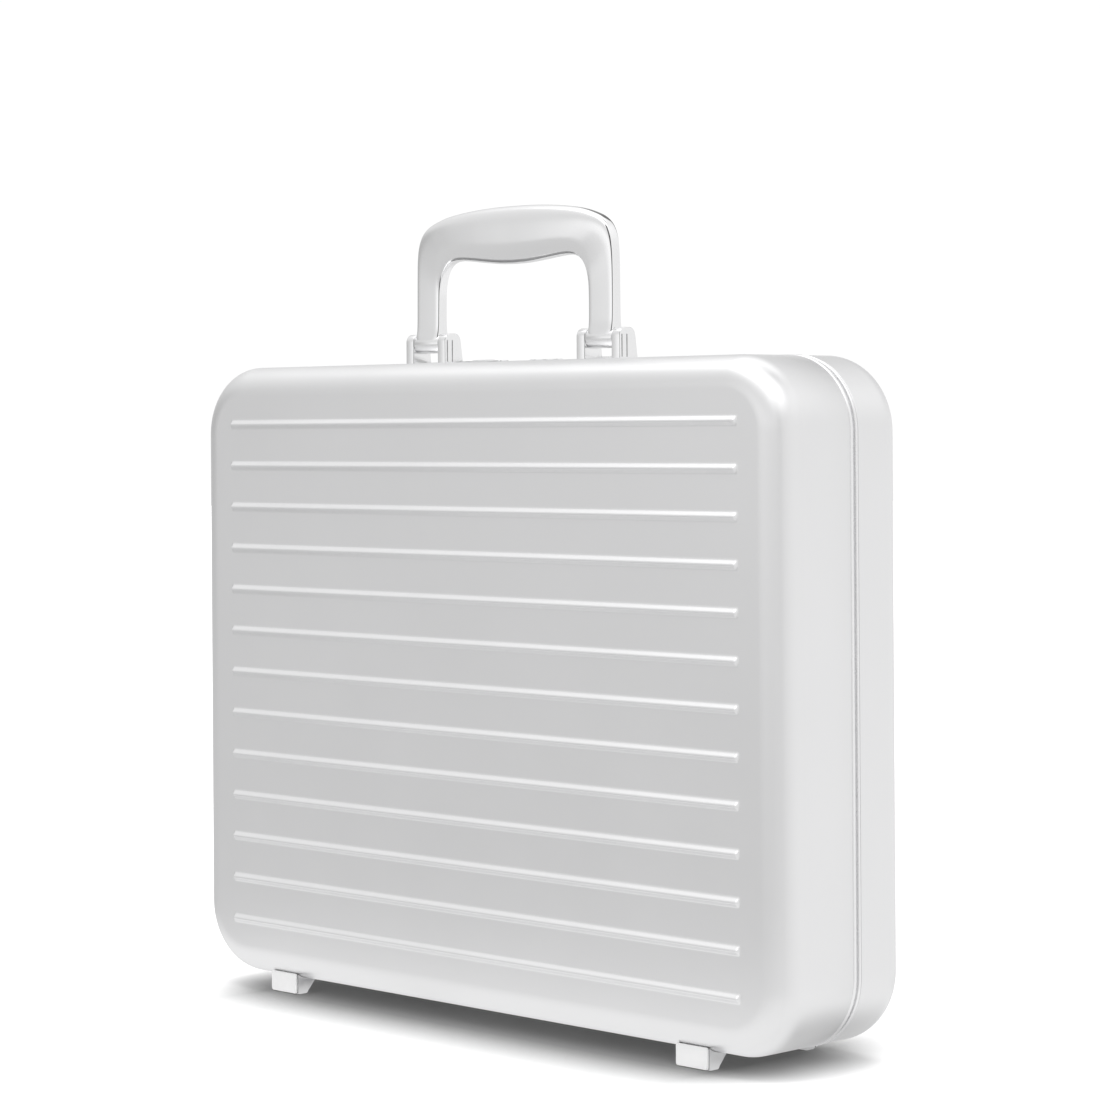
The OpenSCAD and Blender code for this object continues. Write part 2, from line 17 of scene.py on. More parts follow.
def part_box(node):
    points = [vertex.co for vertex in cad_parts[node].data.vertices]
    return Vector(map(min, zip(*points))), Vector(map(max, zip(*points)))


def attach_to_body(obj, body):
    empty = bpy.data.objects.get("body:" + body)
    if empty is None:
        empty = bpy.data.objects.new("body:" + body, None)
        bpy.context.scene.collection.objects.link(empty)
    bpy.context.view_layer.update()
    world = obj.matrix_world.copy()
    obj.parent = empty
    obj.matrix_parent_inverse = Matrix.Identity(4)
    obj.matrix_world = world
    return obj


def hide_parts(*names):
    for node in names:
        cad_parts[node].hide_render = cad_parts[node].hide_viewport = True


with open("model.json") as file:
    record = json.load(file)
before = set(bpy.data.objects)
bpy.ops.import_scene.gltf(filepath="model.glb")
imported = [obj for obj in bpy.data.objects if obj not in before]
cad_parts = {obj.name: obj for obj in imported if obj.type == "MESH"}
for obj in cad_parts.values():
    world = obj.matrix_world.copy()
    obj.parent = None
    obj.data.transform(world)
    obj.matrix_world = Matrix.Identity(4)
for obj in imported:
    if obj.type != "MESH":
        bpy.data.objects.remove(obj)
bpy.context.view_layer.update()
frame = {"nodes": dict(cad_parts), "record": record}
SCENE = bpy.context.scene
MM = 0.001


def box_mm(node):
    low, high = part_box(node)
    return [v / MM for v in low], [v / MM for v in high]


# ------------------------------------------------------------------ driving sizes (mm)
front_low, front_high = box_mm("front_shell")
rear_low, _ = box_mm("rear_shell")
HALF_WIDTH = front_high[0]
BOTTOM, TOP = front_low[2], front_high[2]
MID_Z = (BOTTOM + TOP) / 2
HALF_HEIGHT = (TOP - BOTTOM) / 2
RIB_RISE = 1.8
FACE = -front_low[1] - RIB_RISE  # distance of each flat face from y = 0
FRONT_RIM = front_high[1]
REAR_RIM = rear_low[1]
SEAM = FRONT_RIM + 3.1  # y where the two frames meet
CORNER_RADIUS = 36.0  # outline corners, seen from the front
EDGE_RADIUS = 15.0  # rounding between side walls and faces
EDGE_CENTRE = FACE - EDGE_RADIUS
SHEET = 1.2
CORNER_X = HALF_WIDTH - CORNER_RADIUS
CORNER_Z = HALF_HEIGHT - CORNER_RADIUS

RIB_COUNT, RIB_PITCH, RIB_HALF_LENGTH, RIB_WIDTH = 13, 22.1, 182.6, 5.0
RIB_DROP = 0.9  # the crest of the pressed rib lies a little below its middle
LAST_RIB = RIB_COUNT // 2  # ribs are numbered from the middle one

OPENING_HALF = 63.0  # half width of the slot in the lid's top wall
OPENING_Y = (9.9, 18.5)
FLANGE_GAP_HALF = 69.0  # half width of the gap in the rear frame's flange


# ------------------------------------------------------------------ shader graph tools
class Graph:
    """Short ways to add nodes to the tree of one material or world."""

    def __init__(self, owner, output_kind):
        owner.use_nodes = True
        self.tree = owner.node_tree
        self.tree.nodes.clear()
        self.output = self.add(output_kind)

    def add(self, kind, inputs=(), **settings):
        node = self.tree.nodes.new("ShaderNode" + kind)
        for key, value in settings.items():
            setattr(node, key, value)
        self.set(node, dict(inputs))
        return node

    def set(self, node, inputs):
        """each input is either linked to a socket or given a value"""
        for key, value in inputs.items():
            if hasattr(value, "is_output"):
                self.tree.links.new(value, node.inputs[key])
            else:
                node.inputs[key].default_value = value

    def math(self, operation, *inputs):
        return self.add("Math", enumerate(inputs), operation=operation).outputs[0]

    def vector(self, operation, *inputs, output="Vector"):
        return self.add("VectorMath", enumerate(inputs), operation=operation).outputs[output]

    def map_range(self, value, source=(0.0, 1.0), target=(0.0, 1.0), smooth=False):
        node = self.add("MapRange", {
            "From Min": source[0], "From Max": source[1],
            "To Min": target[0], "To Max": target[1], "Value": value,
        })
        if smooth:
            node.interpolation_type = "SMOOTHSTEP"
        return node.outputs["Result"]

    def step(self, value, low, high, target=(0.0, 1.0)):
        return self.map_range(value, (low, high), target, smooth=True)

    def fall(self, value, low, high):
        return self.step(value, low, high, (1.0, 0.0))

    def mix_float(self, factor, first, second):
        node = self.add("Mix", {0: factor, 2: first, 3: second}, data_type="FLOAT")
        return node.outputs[0]

    def mix_colour(self, factor, first, second):
        node = self.add("Mix", data_type="RGBA")
        self.set(node, {0: factor, 6: first, 7: second})
        return node.outputs[2]

    def mix_shader(self, factor, first, second):
        node = self.add("MixShader", {0: factor, 1: first.outputs[0], 2: second.outputs[0]})
        return node

    def xyz(self, vector):
        node = self.add("SeparateXYZ", {0: vector})
        return [node.outputs[axis] for axis in "XYZ"]

    def azimuth(self, x, y):
        """angle from -Y towards +X"""
        return self.math("ARCTAN2", x, self.math("MULTIPLY", y, -1.0))

    def coords(self, stretch=(1, 1, 1)):
        place = self.add("TexCoord").outputs["Object"]
        return self.add("Mapping", {"Scale": stretch, "Vector": place}).outputs["Vector"]

    def noise(self, vector, scale, detail):
        node = self.add("TexNoise", {
            "Scale": scale, "Detail": detail, "Roughness": 0.55, "Vector": vector,
        })
        return node.outputs["Fac"]

    def bump(self, bsdf, height, strength, distance):
        node = self.add("Bump", {"Strength": strength, "Distance": distance, "Height": height})
        self.set(bsdf, {"Normal": node.outputs["Normal"]})


def principled(name):
    material = bpy.data.materials.new(name)
    graph = Graph(material, "OutputMaterial")
    bsdf = graph.add("BsdfPrincipled")
    graph.set(graph.output, {0: bsdf.outputs[0]})
    return material, graph, bsdf


def tone(colour, factor):
    return tuple(min(1.0, c * factor) for c in colour) + (1,)


# ------------------------------------------------------------------ materials
CARD_AZIMUTH = math.radians(43)  # the world's dark card stands near the camera's direction; polished metal also gets a wider dark strip painted in there, a painted reflection
PAINTED_STRIP_ANGLES = (math.radians(20), math.radians(28))  # full and faded half width of the painted dark strip
# painted reflections: how dark they make polished metal, and in what colour
PAINTED_REFLECTION_DEPTH = 0.90
PAINTED_REFLECTION_COLOUR = (0.03, 0.03, 0.03, 1)
# round painted reflections: dark discs painted where polished metal mirrors these directions
PAINTED_REFLECTION_DISCS = [
    # direction, full radius, faded radius (degrees), amount
    ((-0.359, 0.822, 0.442), 18.0, 21.0, 1.0),  # behind and above
    ((-0.72, 0.0, -0.694), 12.0, 19.0, 0.75),  # left and below
]


def add_flags(graph, colour):
    """painted reflections: darken polished metal's colour where it would mirror a wide dark strip
    and two round dark discs; the discs and this strip are painted, not things in the scene
    """
    reflection = graph.add("TexCoord").outputs["Reflection"]
    x, y, z = graph.xyz(reflection)
    off_strip = graph.math("SUBTRACT", graph.azimuth(x, y), CARD_AZIMUTH)
    across = graph.fall(graph.math("ABSOLUTE", off_strip), *PAINTED_STRIP_ANGLES)
    above = graph.fall(z, 0.75, 0.88)
    below = graph.fall(graph.math("MULTIPLY", z, -1.0), 0.35, 0.5)
    total = graph.math("MULTIPLY", across, graph.math("MULTIPLY", above, below))
    for direction, full, faded, amount in PAINTED_REFLECTION_DISCS:
        cosine = graph.vector("DOT_PRODUCT", reflection, direction, output="Value")
        angle = graph.math("ARCCOSINE", graph.math("MINIMUM", cosine, 1.0))
        disc = graph.fall(angle, math.radians(full), math.radians(faded))
        total = graph.math("MAXIMUM", total, graph.math("MULTIPLY", disc, amount))
    return graph.mix_colour(graph.math("MULTIPLY", total, PAINTED_REFLECTION_DEPTH), colour, PAINTED_REFLECTION_COLOUR)


def metal(name, colour, roughness, grain, grain_scale=2500.0, stretch=(1, 1, 1), vary=0.03,
          rough_vary=0.05, edge_highlight=0.0, painted_reflections=False, metallic=1.0):
    """brushed or cast metal; grain is the bump strength of the fine noise"""
    material, graph, bsdf = principled(name)
    place = graph.coords(stretch)
    wide = graph.noise(place, scale=14.0, detail=4.0)
    fine = graph.noise(place, scale=grain_scale, detail=2.0)
    patches = graph.map_range(wide, (0.3, 0.7))
    surface = graph.mix_colour(patches, tone(colour, 1 - vary), tone(colour, 1 + vary))
    if edge_highlight > 0:  # painted highlight: raised edges are painted a little brighter, for the bright things they would mirror
        pointiness = graph.add("NewGeometry").outputs["Pointiness"]
        edge_light = graph.map_range(pointiness, (0.52, 0.62), (0, edge_highlight))
        surface = graph.mix_colour(edge_light, surface, (0.97, 0.97, 0.97, 1))
    # painted reflections: darken the colour by the direction it mirrors
    if painted_reflections:
        surface = add_flags(graph, surface)
    wide_rough = graph.map_range(
        wide, (0.25, 0.75), (roughness - rough_vary, roughness + rough_vary))
    fine_rough = graph.map_range(fine, target=(-0.03, 0.03))
    graph.set(bsdf, {
        "Metallic": metallic,
        "Base Color": surface,
        "Roughness": graph.math("ADD", wide_rough, fine_rough),
    })
    graph.bump(bsdf, fine, strength=grain, distance=0.00004)
    return material


def dielectric(name, colour, roughness, vary=0.06, bump_strength=0.15):
    """rubber, nylon, paint and thread"""
    material, graph, bsdf = principled(name)
    place = graph.coords()
    wide = graph.noise(place, scale=30.0, detail=3.0)
    fine = graph.noise(place, scale=900.0, detail=2.0)
    graph.set(bsdf, {
        "Base Color": graph.mix_colour(wide, tone(colour, 1 - vary), tone(colour, 1 + vary)),
        "Roughness": graph.map_range(fine, target=(roughness - 0.06, roughness + 0.06)),
    })
    graph.bump(bsdf, fine, strength=bump_strength, distance=0.00005)
    return material


def weave(name, colour, threads=2600.0, bump_strength=0.7):
    """woven cloth; threads is the phase of the thread waves in radians per metre"""
    material, graph, bsdf = principled(name)
    x, y, z = graph.xyz(graph.add("TexCoord").outputs["Object"])
    warp, weft = [
        graph.math("SINE", graph.math("MULTIPLY_ADD", along, threads, 0.0))
        for along in (graph.math("ADD", x, y), z)
    ]
    crossing = graph.math("MULTIPLY", warp, weft)
    place = graph.coords()
    wide = graph.noise(place, scale=22.0, detail=4.0)
    fuzz = graph.noise(place, scale=3500.0, detail=2.0)
    thread = graph.mix_colour(
        graph.map_range(crossing, (-1, 1)), tone(colour, 0.72), tone(colour, 1.25))
    patches = graph.map_range(wide, (0.3, 0.7), (0, 0.5))
    graph.set(bsdf, {
        "Base Color": graph.mix_colour(patches, thread, tone(colour, 0.85)),
        "Roughness": 0.88,
        "Sheen Weight": 0.35,
        "Sheen Roughness": 0.4,
    })
    height = graph.math("ADD", crossing, fuzz)
    graph.bump(bsdf, height, strength=bump_strength, distance=0.00018)
    return material


MATERIALS = {
    "shell": metal("satin_aluminium", (0.86, 0.86, 0.865), roughness=0.34, grain=0.10,
                   vary=0.012, rough_vary=0.02),
    # the frame's raised edges get a painted highlight
    "frame": metal("frame_aluminium", (0.90, 0.90, 0.905), roughness=0.26, grain=0.05,
                   vary=0.015, rough_vary=0.03, edge_highlight=0.3),
    # polished metal has dark reflections painted into its colour
    "polished": metal("polished_casting", (0.90, 0.90, 0.905), roughness=0.17, grain=0.03,
                      vary=0.01, rough_vary=0.03, painted_reflections=True),
    # painted shade: dark metal for the faces inside the ear grooves
    "groove": metal("painted_groove_shade", (0.30, 0.30, 0.31), roughness=0.45, grain=0.05),
    "foot": metal("foot_casting", (0.66, 0.66, 0.665), roughness=0.30, grain=0.10,
                  vary=0.02, rough_vary=0.04),
    "plate": metal("bright_plate", (0.95, 0.95, 0.95), roughness=0.42, grain=0.05,
                   vary=0.01, metallic=0.3),
    "steel": metal("plated_steel", (0.62, 0.62, 0.64), roughness=0.28, grain=0.10,
                   grain_scale=1200.0, stretch=(1, 1, 6), vary=0.05, rough_vary=0.07),
    "rubber": dielectric("gasket_rubber", (0.03, 0.03, 0.032), roughness=0.62),
    "bushing": dielectric("nylon", (0.72, 0.71, 0.67), roughness=0.42, vary=0.03),
    "paint": dielectric("dial_numeral_paint", (0.03, 0.03, 0.03), roughness=0.5),
    "lining": weave("lining_cloth", (0.085, 0.09, 0.10)),
    "pocket": weave("pocket_cloth", (0.10, 0.105, 0.115), threads=1900.0, bump_strength=0.9),
    "hem": weave("hem_tape", (0.055, 0.058, 0.065), threads=3600.0, bump_strength=0.5),
    "thread": dielectric("stitch_thread", (0.30, 0.30, 0.31), roughness=0.7,
                         bump_strength=0.4),
}


# ------------------------------------------------------------------ object tools
def add_object(name, data):
    ob = bpy.data.objects.new(name, data)
    SCENE.collection.objects.link(ob)
    return ob


def attach(ob, body, replaces=None):
    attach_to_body(ob, body)
    if replaces:
        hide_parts(replaces)


def clean_mesh(name, bm):
    """weld a bmesh, turn its faces outwards and store it"""
    mesh = bpy.data.meshes.new(name)
    bmesh.ops.remove_doubles(bm, verts=bm.verts, dist=1e-7)
    bmesh.ops.recalc_face_normals(bm, faces=bm.faces)
    bm.to_mesh(mesh)
    bm.free()
    return mesh


def solid_mesh(name, solid):
    """mesh in metres from (vertices in mm, faces)"""
    verts, faces = solid
    raw = bpy.data.meshes.new(name)
    raw.from_pydata([tuple(c * MM for c in v) for v in verts], [], faces)
    bm = bmesh.new()
    bm.from_mesh(raw)
    bpy.data.meshes.remove(raw)
    return clean_mesh(name, bm)


def finish(name, mesh, body, material, slot, replaces=None, sharp=38.0):
    mesh.polygons.foreach_set("use_smooth", [True] * len(mesh.polygons))
    mesh.set_sharp_from_angle(angle=math.radians(sharp))
    mesh.materials.clear()
    mesh.materials.append(MATERIALS[material])
    ob = add_object(name, mesh)
    attach(ob, body, replaces)
    return ob


def build(name, solid, *args, **settings):
    return finish(name, solid_mesh(name, solid), *args, **settings)


def second_material(ob, material, belongs):
    """give a second material to the faces that pass the test"""
    ob.data.materials.append(MATERIALS[material])
    for polygon in ob.data.polygons:
        if belongs(polygon):
            polygon.material_index = 1


def evaluated_mesh(ob):
    """mesh of an object with its modifiers or text worked out"""
    bpy.context.view_layer.update()
    depsgraph = bpy.context.evaluated_depsgraph_get()
    return bpy.data.meshes.new_from_object(ob.evaluated_get(depsgraph))


# ------------------------------------------------------------------ solid tools
def bands(rows, around, start=0, closed=False, skip=None):
    """quads between neighbouring rows of vertices; closed also joins the last to the first"""
    faces = []
    for row in range(rows if closed else rows - 1):
        here = start + row * around
        there = start + (row + 1) % rows * around
        for k in range(around):
            if skip and skip(row, k):
                continue
            after = (k + 1) % around
            faces.append((here + k, here + after, there + after, there + k))
    return faces


def loft(rows):
    """closed solid through rows of points, with flat ends"""
    around = len(rows[0])
    last = (len(rows) - 1) * around
    faces = bands(len(rows), around)
    faces.append(tuple(range(around)))
    faces.append(tuple(last + k for k in range(around)))
    return [tuple(point) for row in rows for point in row], faces


def grid_faces(columns, rows, start=0):
    faces = []
    for row in range(rows - 1):
        for column in range(columns - 1):
            q = start + row * columns + column
            faces.append((q, q + 1, q + columns + 1, q + columns))
    return faces


def fill_loops(verts, loops):
    """triangles between closed loops of vertex numbers"""
    bm = bmesh.new()
    number, edges = {}, []
    for loop in loops:
        corners = [bm.verts.new(verts[k]) for k in loop]
        number.update(zip(corners, loop))
        edges += [bm.edges.new((corners[i], corners[(i + 1) % len(corners)]))
                  for i in range(len(corners))]
    bmesh.ops.triangle_fill(bm, edges=edges, use_beauty=True)
    faces = [tuple(number[corner] for corner in face.verts) for face in bm.faces]
    bm.free()
    return faces


def join(solids):
    verts, faces = [], []
    for more_verts, more_faces in solids:
        start = len(verts)
        verts += list(more_verts)
        faces += [tuple(start + i for i in face) for face in more_faces]
    return verts, faces


def mirror_x(solid):
    verts, faces = solid
    return [(-x, y, z) for x, y, z in verts], [face[::-1] for face in faces]


def arc(centre_y, centre_z, radius, start, end, count):
    return [(centre_y + radius * math.cos(a), centre_z + radius * math.sin(a))
            for a in np.linspace(start, end, count)]


def rounded_rect(x0, x1, y0, y1, radius, steps=6):
    """counter-clockwise outline"""
    points = []
    centres = ((x1 - radius, y1 - radius, 0), (x0 + radius, y1 - radius, 90),
               (x0 + radius, y0 + radius, 180), (x1 - radius, y0 + radius, 270))
    for x, y, start in centres:
        for k in range(steps + 1):
            a = math.radians(start + 90 * k / steps)
            points.append((x + radius * math.cos(a), y + radius * math.sin(a)))
    return points


def inset_outline(points, depth):
    """counter-clockwise outline moved inwards, with a limit on the mitres"""
    out = []
    for i, point in enumerate(points):
        edge_in = point - points[i - 1]
        edge_out = points[(i + 1) % len(points)] - point
        normal_in, normal_out = [
            np.array([-e[1], e[0]]) / (np.linalg.norm(e) + 1e-12) for e in (edge_in, edge_out)
        ]
        mitre = normal_in + normal_out
        mitre = mitre / (np.linalg.norm(mitre) + 1e-12)
        out.append(point + mitre * depth / max(0.45, float(np.dot(mitre, normal_in))))
    return out


def bar(outline, x0, x1, soft, steps=3):
    """bar along X from a counter-clockwise (y, z) outline, ends rounded by soft"""
    points = np.array(outline, float)
    ends = []  # distance in from the end, outline there
    for k in range(steps, -1, -1):
        a = math.pi / 2 * k / steps
        ends.append((soft * (1 - math.sin(a)), inset_outline(points, soft * (1 - math.cos(a)))))
    rows = [(x0 + depth, section) for depth, section in ends]
    rows += [(x1 - depth, section) for depth, section in ends[::-1]]
    return loft([[(x, y, z) for y, z in section] for x, section in rows])


def soft_box(x0, x1, y0, y1, z0, z1, radius=0.3):
    return bar(rounded_rect(y0, y1, z0, z1, radius, 3), x0, x1, radius)


def plate(outline, z0, z1, ease, holes=()):
    """flat plate, top rims eased; outline and holes are (x0, x1, y0, y1, corner radius)"""
    verts, faces, tops, bottoms = [], [], [], []
    # distance towards the full outline, height
    easing = [(0.0, z1), (ease * 0.3, z1 - ease * 0.05), (ease * 0.7, z1 - ease * 0.35),
              (ease, z1 - ease)]
    for rect, sign in [(outline, 1)] + [(hole, -1) for hole in holes]:
        x0, x1, y0, y1, radius = rect
        first = len(verts)
        levels = [(-sign * (ease - out), z) for out, z in easing] + [(0.0, z0)]
        for grow, z in levels:
            loop = rounded_rect(
                x0 - grow, x1 + grow, y0 - grow, y1 + grow, max(0.05, radius + grow))
            verts.extend((x, y, z) for x, y in loop)
        around = len(loop)
        last = first + (len(levels) - 1) * around
        faces += bands(len(levels), around, first)
        tops.append([first + k for k in range(around)])
        bottoms.append([last + k for k in range(around)])
    for loops in (tops, bottoms):
        faces += fill_loops(verts, loops) if holes else [tuple(loops[0])]
    return verts, faces


def turned(profile, y, z, around, radius_at=lambda radius, a: radius):
    """ring turned about an axle along X, from a closed (x, radius) profile"""
    verts = []
    for x, radius in profile:
        for k in range(around):
            a = 2 * math.pi * k / around
            r = radius_at(radius, a)
            verts.append((x, y + r * math.sin(a), z + r * math.cos(a)))
    return verts, bands(len(profile), around, closed=True)


# ------------------------------------------------------------------ outline of the case
X_STATIONS = [-150.0, -110.0, -FLANGE_GAP_HALF, -OPENING_HALF, -40.0, 0.0,
              40.0, OPENING_HALF, FLANGE_GAP_HALF, 110.0, 150.0]
Z_STATIONS = [-100.0, -50.0, 0.0, 50.0, 100.0]
CORNER_STEPS = 22


def ring(inset):
    """case outline as (x, z), clockwise from the top left, inset from the outer surface"""
    r = CORNER_RADIUS - inset
    turn = [(r * math.sin(a), r * math.cos(a))
            for a in [math.pi / 2 * k / CORNER_STEPS for k in range(CORNER_STEPS)]]
    points = [(x, HALF_HEIGHT - inset) for x in [-CORNER_X] + X_STATIONS]
    points += [(CORNER_X + s, CORNER_Z + c) for s, c in turn]
    points += [(HALF_WIDTH - inset, z) for z in [CORNER_Z] + Z_STATIONS[::-1]]
    points += [(CORNER_X + c, -CORNER_Z - s) for s, c in turn]
    points += [(x, -HALF_HEIGHT + inset) for x in [CORNER_X] + X_STATIONS[::-1]]
    points += [(-CORNER_X - s, -CORNER_Z - c) for s, c in turn]
    points += [(-HALF_WIDTH + inset, z) for z in [-CORNER_Z] + Z_STATIONS]
    points += [(-CORNER_X - c, CORNER_Z + s) for s, c in turn]
    return points


RING_SIZE = len(ring(0))
TOP_INDEX = {x: 1 + i for i, x in enumerate(X_STATIONS)}  # place in the ring's top side


def bridge(row_a, row_b, first, last):
    """quads between two rows of ring vertices, from ring place first to last"""
    a, b = row_a * RING_SIZE, row_b * RING_SIZE
    return [(a + i, a + i + 1, b + i + 1, b + i) for i in range(first, last)]


# ------------------------------------------------------------------ pressed ribs
def smoothstep(low, high, t):
    t = np.clip((t - low) / (high - low), 0, 1)
    return t * t * (3 - 2 * t)


def rib_flank():
    """distance from the crest in half widths, and the height there from 1 to 0"""
    distance = np.linspace(0, 1.12, 400)
    slope = smoothstep(0.0, 0.30, distance) * (1 - smoothstep(0.62, 1.1, distance))
    areas = (slope[1:] + slope[:-1]) / 2 * (distance[1] - distance[0])
    fallen = np.concatenate([[0], np.cumsum(areas)])
    return distance, 1 - fallen / fallen[-1]


FLANK_DISTANCE, FLANK_HEIGHT = rib_flank()


def rib_height(x, z):
    """height over the face; z is counted from the middle of the case"""
    rib = max(-LAST_RIB, min(LAST_RIB, round(z / RIB_PITCH)))
    off = z - rib * RIB_PITCH + RIB_DROP
    # the flank above the crest is wider than the one below
    off = off / (RIB_WIDTH / 2 + 0.45) if off > 0 else -off / (RIB_WIDTH / 2 - 0.05)
    end = 1 - float(smoothstep(RIB_HALF_LENGTH - 1.5, RIB_HALF_LENGTH + 0.1, abs(x)))
    return RIB_RISE * end * float(np.interp(off, FLANK_DISTANCE, FLANK_HEIGHT))


def flat(x, z):
    return 0.0


def face_lines(ribbed):
    """x and z lines of the face grid, close together at rib ends and flanks"""
    if not ribbed:
        return list(np.linspace(-184, 184, 93)), list(np.linspace(-138, 138, 70))
    ends = list(np.arange(180.2, 184.6, 0.22))
    x_lines = sorted([-v for v in ends] + ends + list(range(-150, 151, 30)))
    z_lines = [-139.0]
    for rib in range(-LAST_RIB, LAST_RIB + 1):
        z_lines += [rib * RIB_PITCH - RIB_DROP + d for d in np.linspace(-3.0, 3.4, 27)]
    return x_lines, z_lines + [139.0]


# ------------------------------------------------------------------ trays: shells and linings
EDGE_STEPS = 16
LEAD = 0.7  # straight step on either side of each rounded edge


def add_face(verts, faces, outline, y, height):
    """close a tray with a grid in relief, joined to the ring that starts at outline"""
    x_lines, z_lines = face_lines(height is rib_height)
    columns, rows = len(x_lines), len(z_lines)
    start = len(verts)
    verts += [(x, y + height(x, z), z) for z in z_lines for x in x_lines]
    faces += grid_faces(columns, rows, start)
    border = [start + k for k in range(columns)]
    border += [start + row * columns + columns - 1 for row in range(1, rows)]
    border += [start + (rows - 1) * columns + k for k in range(columns - 2, -1, -1)]
    border += [start + row * columns for row in range(rows - 2, 0, -1)]
    faces += fill_loops(verts, [[outline + i for i in range(RING_SIZE)], border])


def tray(side, rim, inset, thickness, outer=flat, inner=flat, rim_round=0.35, opening=None):
    """closed tray opening towards the seam, its outer wall inset from the outline.

    side is -1 for the base and 1 for the lid. rim and opening are distances from y = 0
    towards that side. outer and inner give the relief of the two faces.
    """
    radius = EDGE_RADIUS - inset
    inside = inset + thickness
    inner_radius = radius - thickness
    # (inset, distance from y = 0), from the outer face over the rim to the inner face
    profile = [(inset + radius - radius * math.cos(a), EDGE_CENTRE + radius * math.sin(a))
               for a in np.linspace(math.pi / 2, 0, EDGE_STEPS + 1)]
    profile.insert(0, (profile[0][0] + LEAD, profile[0][1]))
    profile.append((inset, EDGE_CENTRE - LEAD))
    if opening:
        outer_cut = len(profile)
        profile += [(inset, opening[1]), (inset, opening[0])]
    profile += [
        (inset, rim + rim_round), (inset + 0.3 * rim_round, rim + 0.3 * rim_round),
        (inset + rim_round, rim), (inside - rim_round * 0.5, rim),
        (inside, rim + rim_round * 0.5),
    ]
    if opening:
        inner_cut = len(profile)
        profile += [(inside, opening[0]), (inside, opening[1])]
    profile.append((inside, EDGE_CENTRE - LEAD))
    profile += [(inside + inner_radius - inner_radius * math.cos(a),
                 EDGE_CENTRE + inner_radius * math.sin(a))
                for a in np.linspace(0, math.pi / 2, EDGE_STEPS + 1)]
    profile.append((profile[-1][0] + LEAD, profile[-1][1]))

    verts = [(x, y, z) for n, y in profile for x, z in ring(n)]
    if opening:
        first, last = TOP_INDEX[-OPENING_HALF], TOP_INDEX[OPENING_HALF]
        faces = bands(len(profile), RING_SIZE, skip=lambda row, i: (
            row in (outer_cut, inner_cut) and first <= i < last))
        faces += bridge(outer_cut, inner_cut + 1, first, last)
        faces += bridge(outer_cut + 1, inner_cut, first, last)
        for i in (first, last):
            faces.append(tuple(row * RING_SIZE + i for row in (
                outer_cut + 1, outer_cut, inner_cut + 1, inner_cut)))
    else:
        faces = bands(len(profile), RING_SIZE)
    add_face(verts, faces, 0, profile[0][1], outer)
    add_face(verts, faces, (len(profile) - 1) * RING_SIZE, profile[-1][1], inner)
    return [(x, side * y, z + MID_Z) for x, y, z in verts], faces


build("front_shell_skin", tray(-1, -FRONT_RIM, 0.0, SHEET, outer=rib_height),
      "base", "shell", "shell", "front_shell", sharp=50)
build("rear_shell_skin", tray(1, REAR_RIM, 0.0, SHEET, outer=rib_height, opening=OPENING_Y),
      "lid", "shell", "shell", "rear_shell", sharp=50)


# ------------------------------------------------------------------ frames swept round the outline
def ease_corners(points):
    """closed profile with eased corners; points are (inset, y) or (inset, y, radius)"""
    out = []
    for i, (inset, y, *own_radius) in enumerate(points):
        radius = own_radius[0] if own_radius else 0.22
        corner = np.array((inset, y), float)
        if radius <= 0:
            out.append(tuple(corner))
            continue
        before = np.array(points[i - 1][:2], float) - corner
        after = np.array(points[(i + 1) % len(points)][:2], float) - corner
        length_before, length_after = np.linalg.norm(before), np.linalg.norm(after)
        radius = min(radius, 0.45 * length_before, 0.45 * length_after)
        start = corner + before / length_before * radius
        end = corner + after / length_after * radius
        for s in (0.0, 0.5, 1.0):
            out.append(tuple((1 - s) ** 2 * start + 2 * s * (1 - s) * corner + s * s * end))
    return out


def bead(inset, y, inset_radius, y_radius, count):
    """half-round bead standing outwards"""
    return [(inset - inset_radius * math.sin(a), y - y_radius * math.cos(a), 0)
            for a in np.linspace(0.12, math.pi - 0.12, count)]


def sweep(profile, y, skip=None):
    """closed (inset, distance from y) profile carried round the case"""
    verts = [(x, y + off, z + MID_Z) for inset, off in profile for x, z in ring(inset)]
    return verts, bands(len(profile), RING_SIZE, closed=True, skip=skip)


FRONT_PROFILE = ease_corners(
    [(1.5, -3.0, 0)]
    + bead(inset=0.85, y=-1.9, inset_radius=1.15, y_radius=1.1, count=13)
    + [(1.5, -0.8), (1.5, -0.1), (3.5, -0.1), (3.5, -2.5), (5.8, -2.5), (5.8, -0.1),
       (7.0, -0.1), (7.0, -14.7), (5.8, -14.7), (5.8, -3.7), (3.5, -3.7), (3.5, -20.7),
       (1.5, -20.7)])
build("front_frame_extrusion", sweep(FRONT_PROFILE, SEAM),
      "base", "frame", "frame", "front_frame", sharp=45)


def rear_frame():
    points = [(1.5, 0.8)]
    points += [p[:2] for p in bead(inset=0.55, y=1.6, inset_radius=0.85, y_radius=0.8, count=11)]
    root = len(points)  # the flange leaves here and comes back three points later
    points += [(1.5, 2.4), (1.5, 13.3), (3.5, 13.3), (3.5, 2.4)]
    points += ease_corners([(3.5, 2.0, 0), (5.2, 2.0), (5.2, -1.5, 0.35), (4.1, -1.5, 0.35),
                            (4.1, 0.9), (3.5, 0.9, 0), (3.5, 0.1), (1.5, 0.1)])
    first, last = TOP_INDEX[-FLANGE_GAP_HALF], TOP_INDEX[FLANGE_GAP_HALF]
    verts, faces = sweep(
        points, SEAM, skip=lambda row, i: root <= row < root + 3 and first <= i < last)
    faces += bridge(root, root + 3, first, last)
    for i in (first, last):
        faces.append(tuple((root + k) * RING_SIZE + i for k in range(4)))
    return verts, faces


build("rear_frame_extrusion", rear_frame(), "lid", "frame", "frame", "rear_frame", sharp=45)

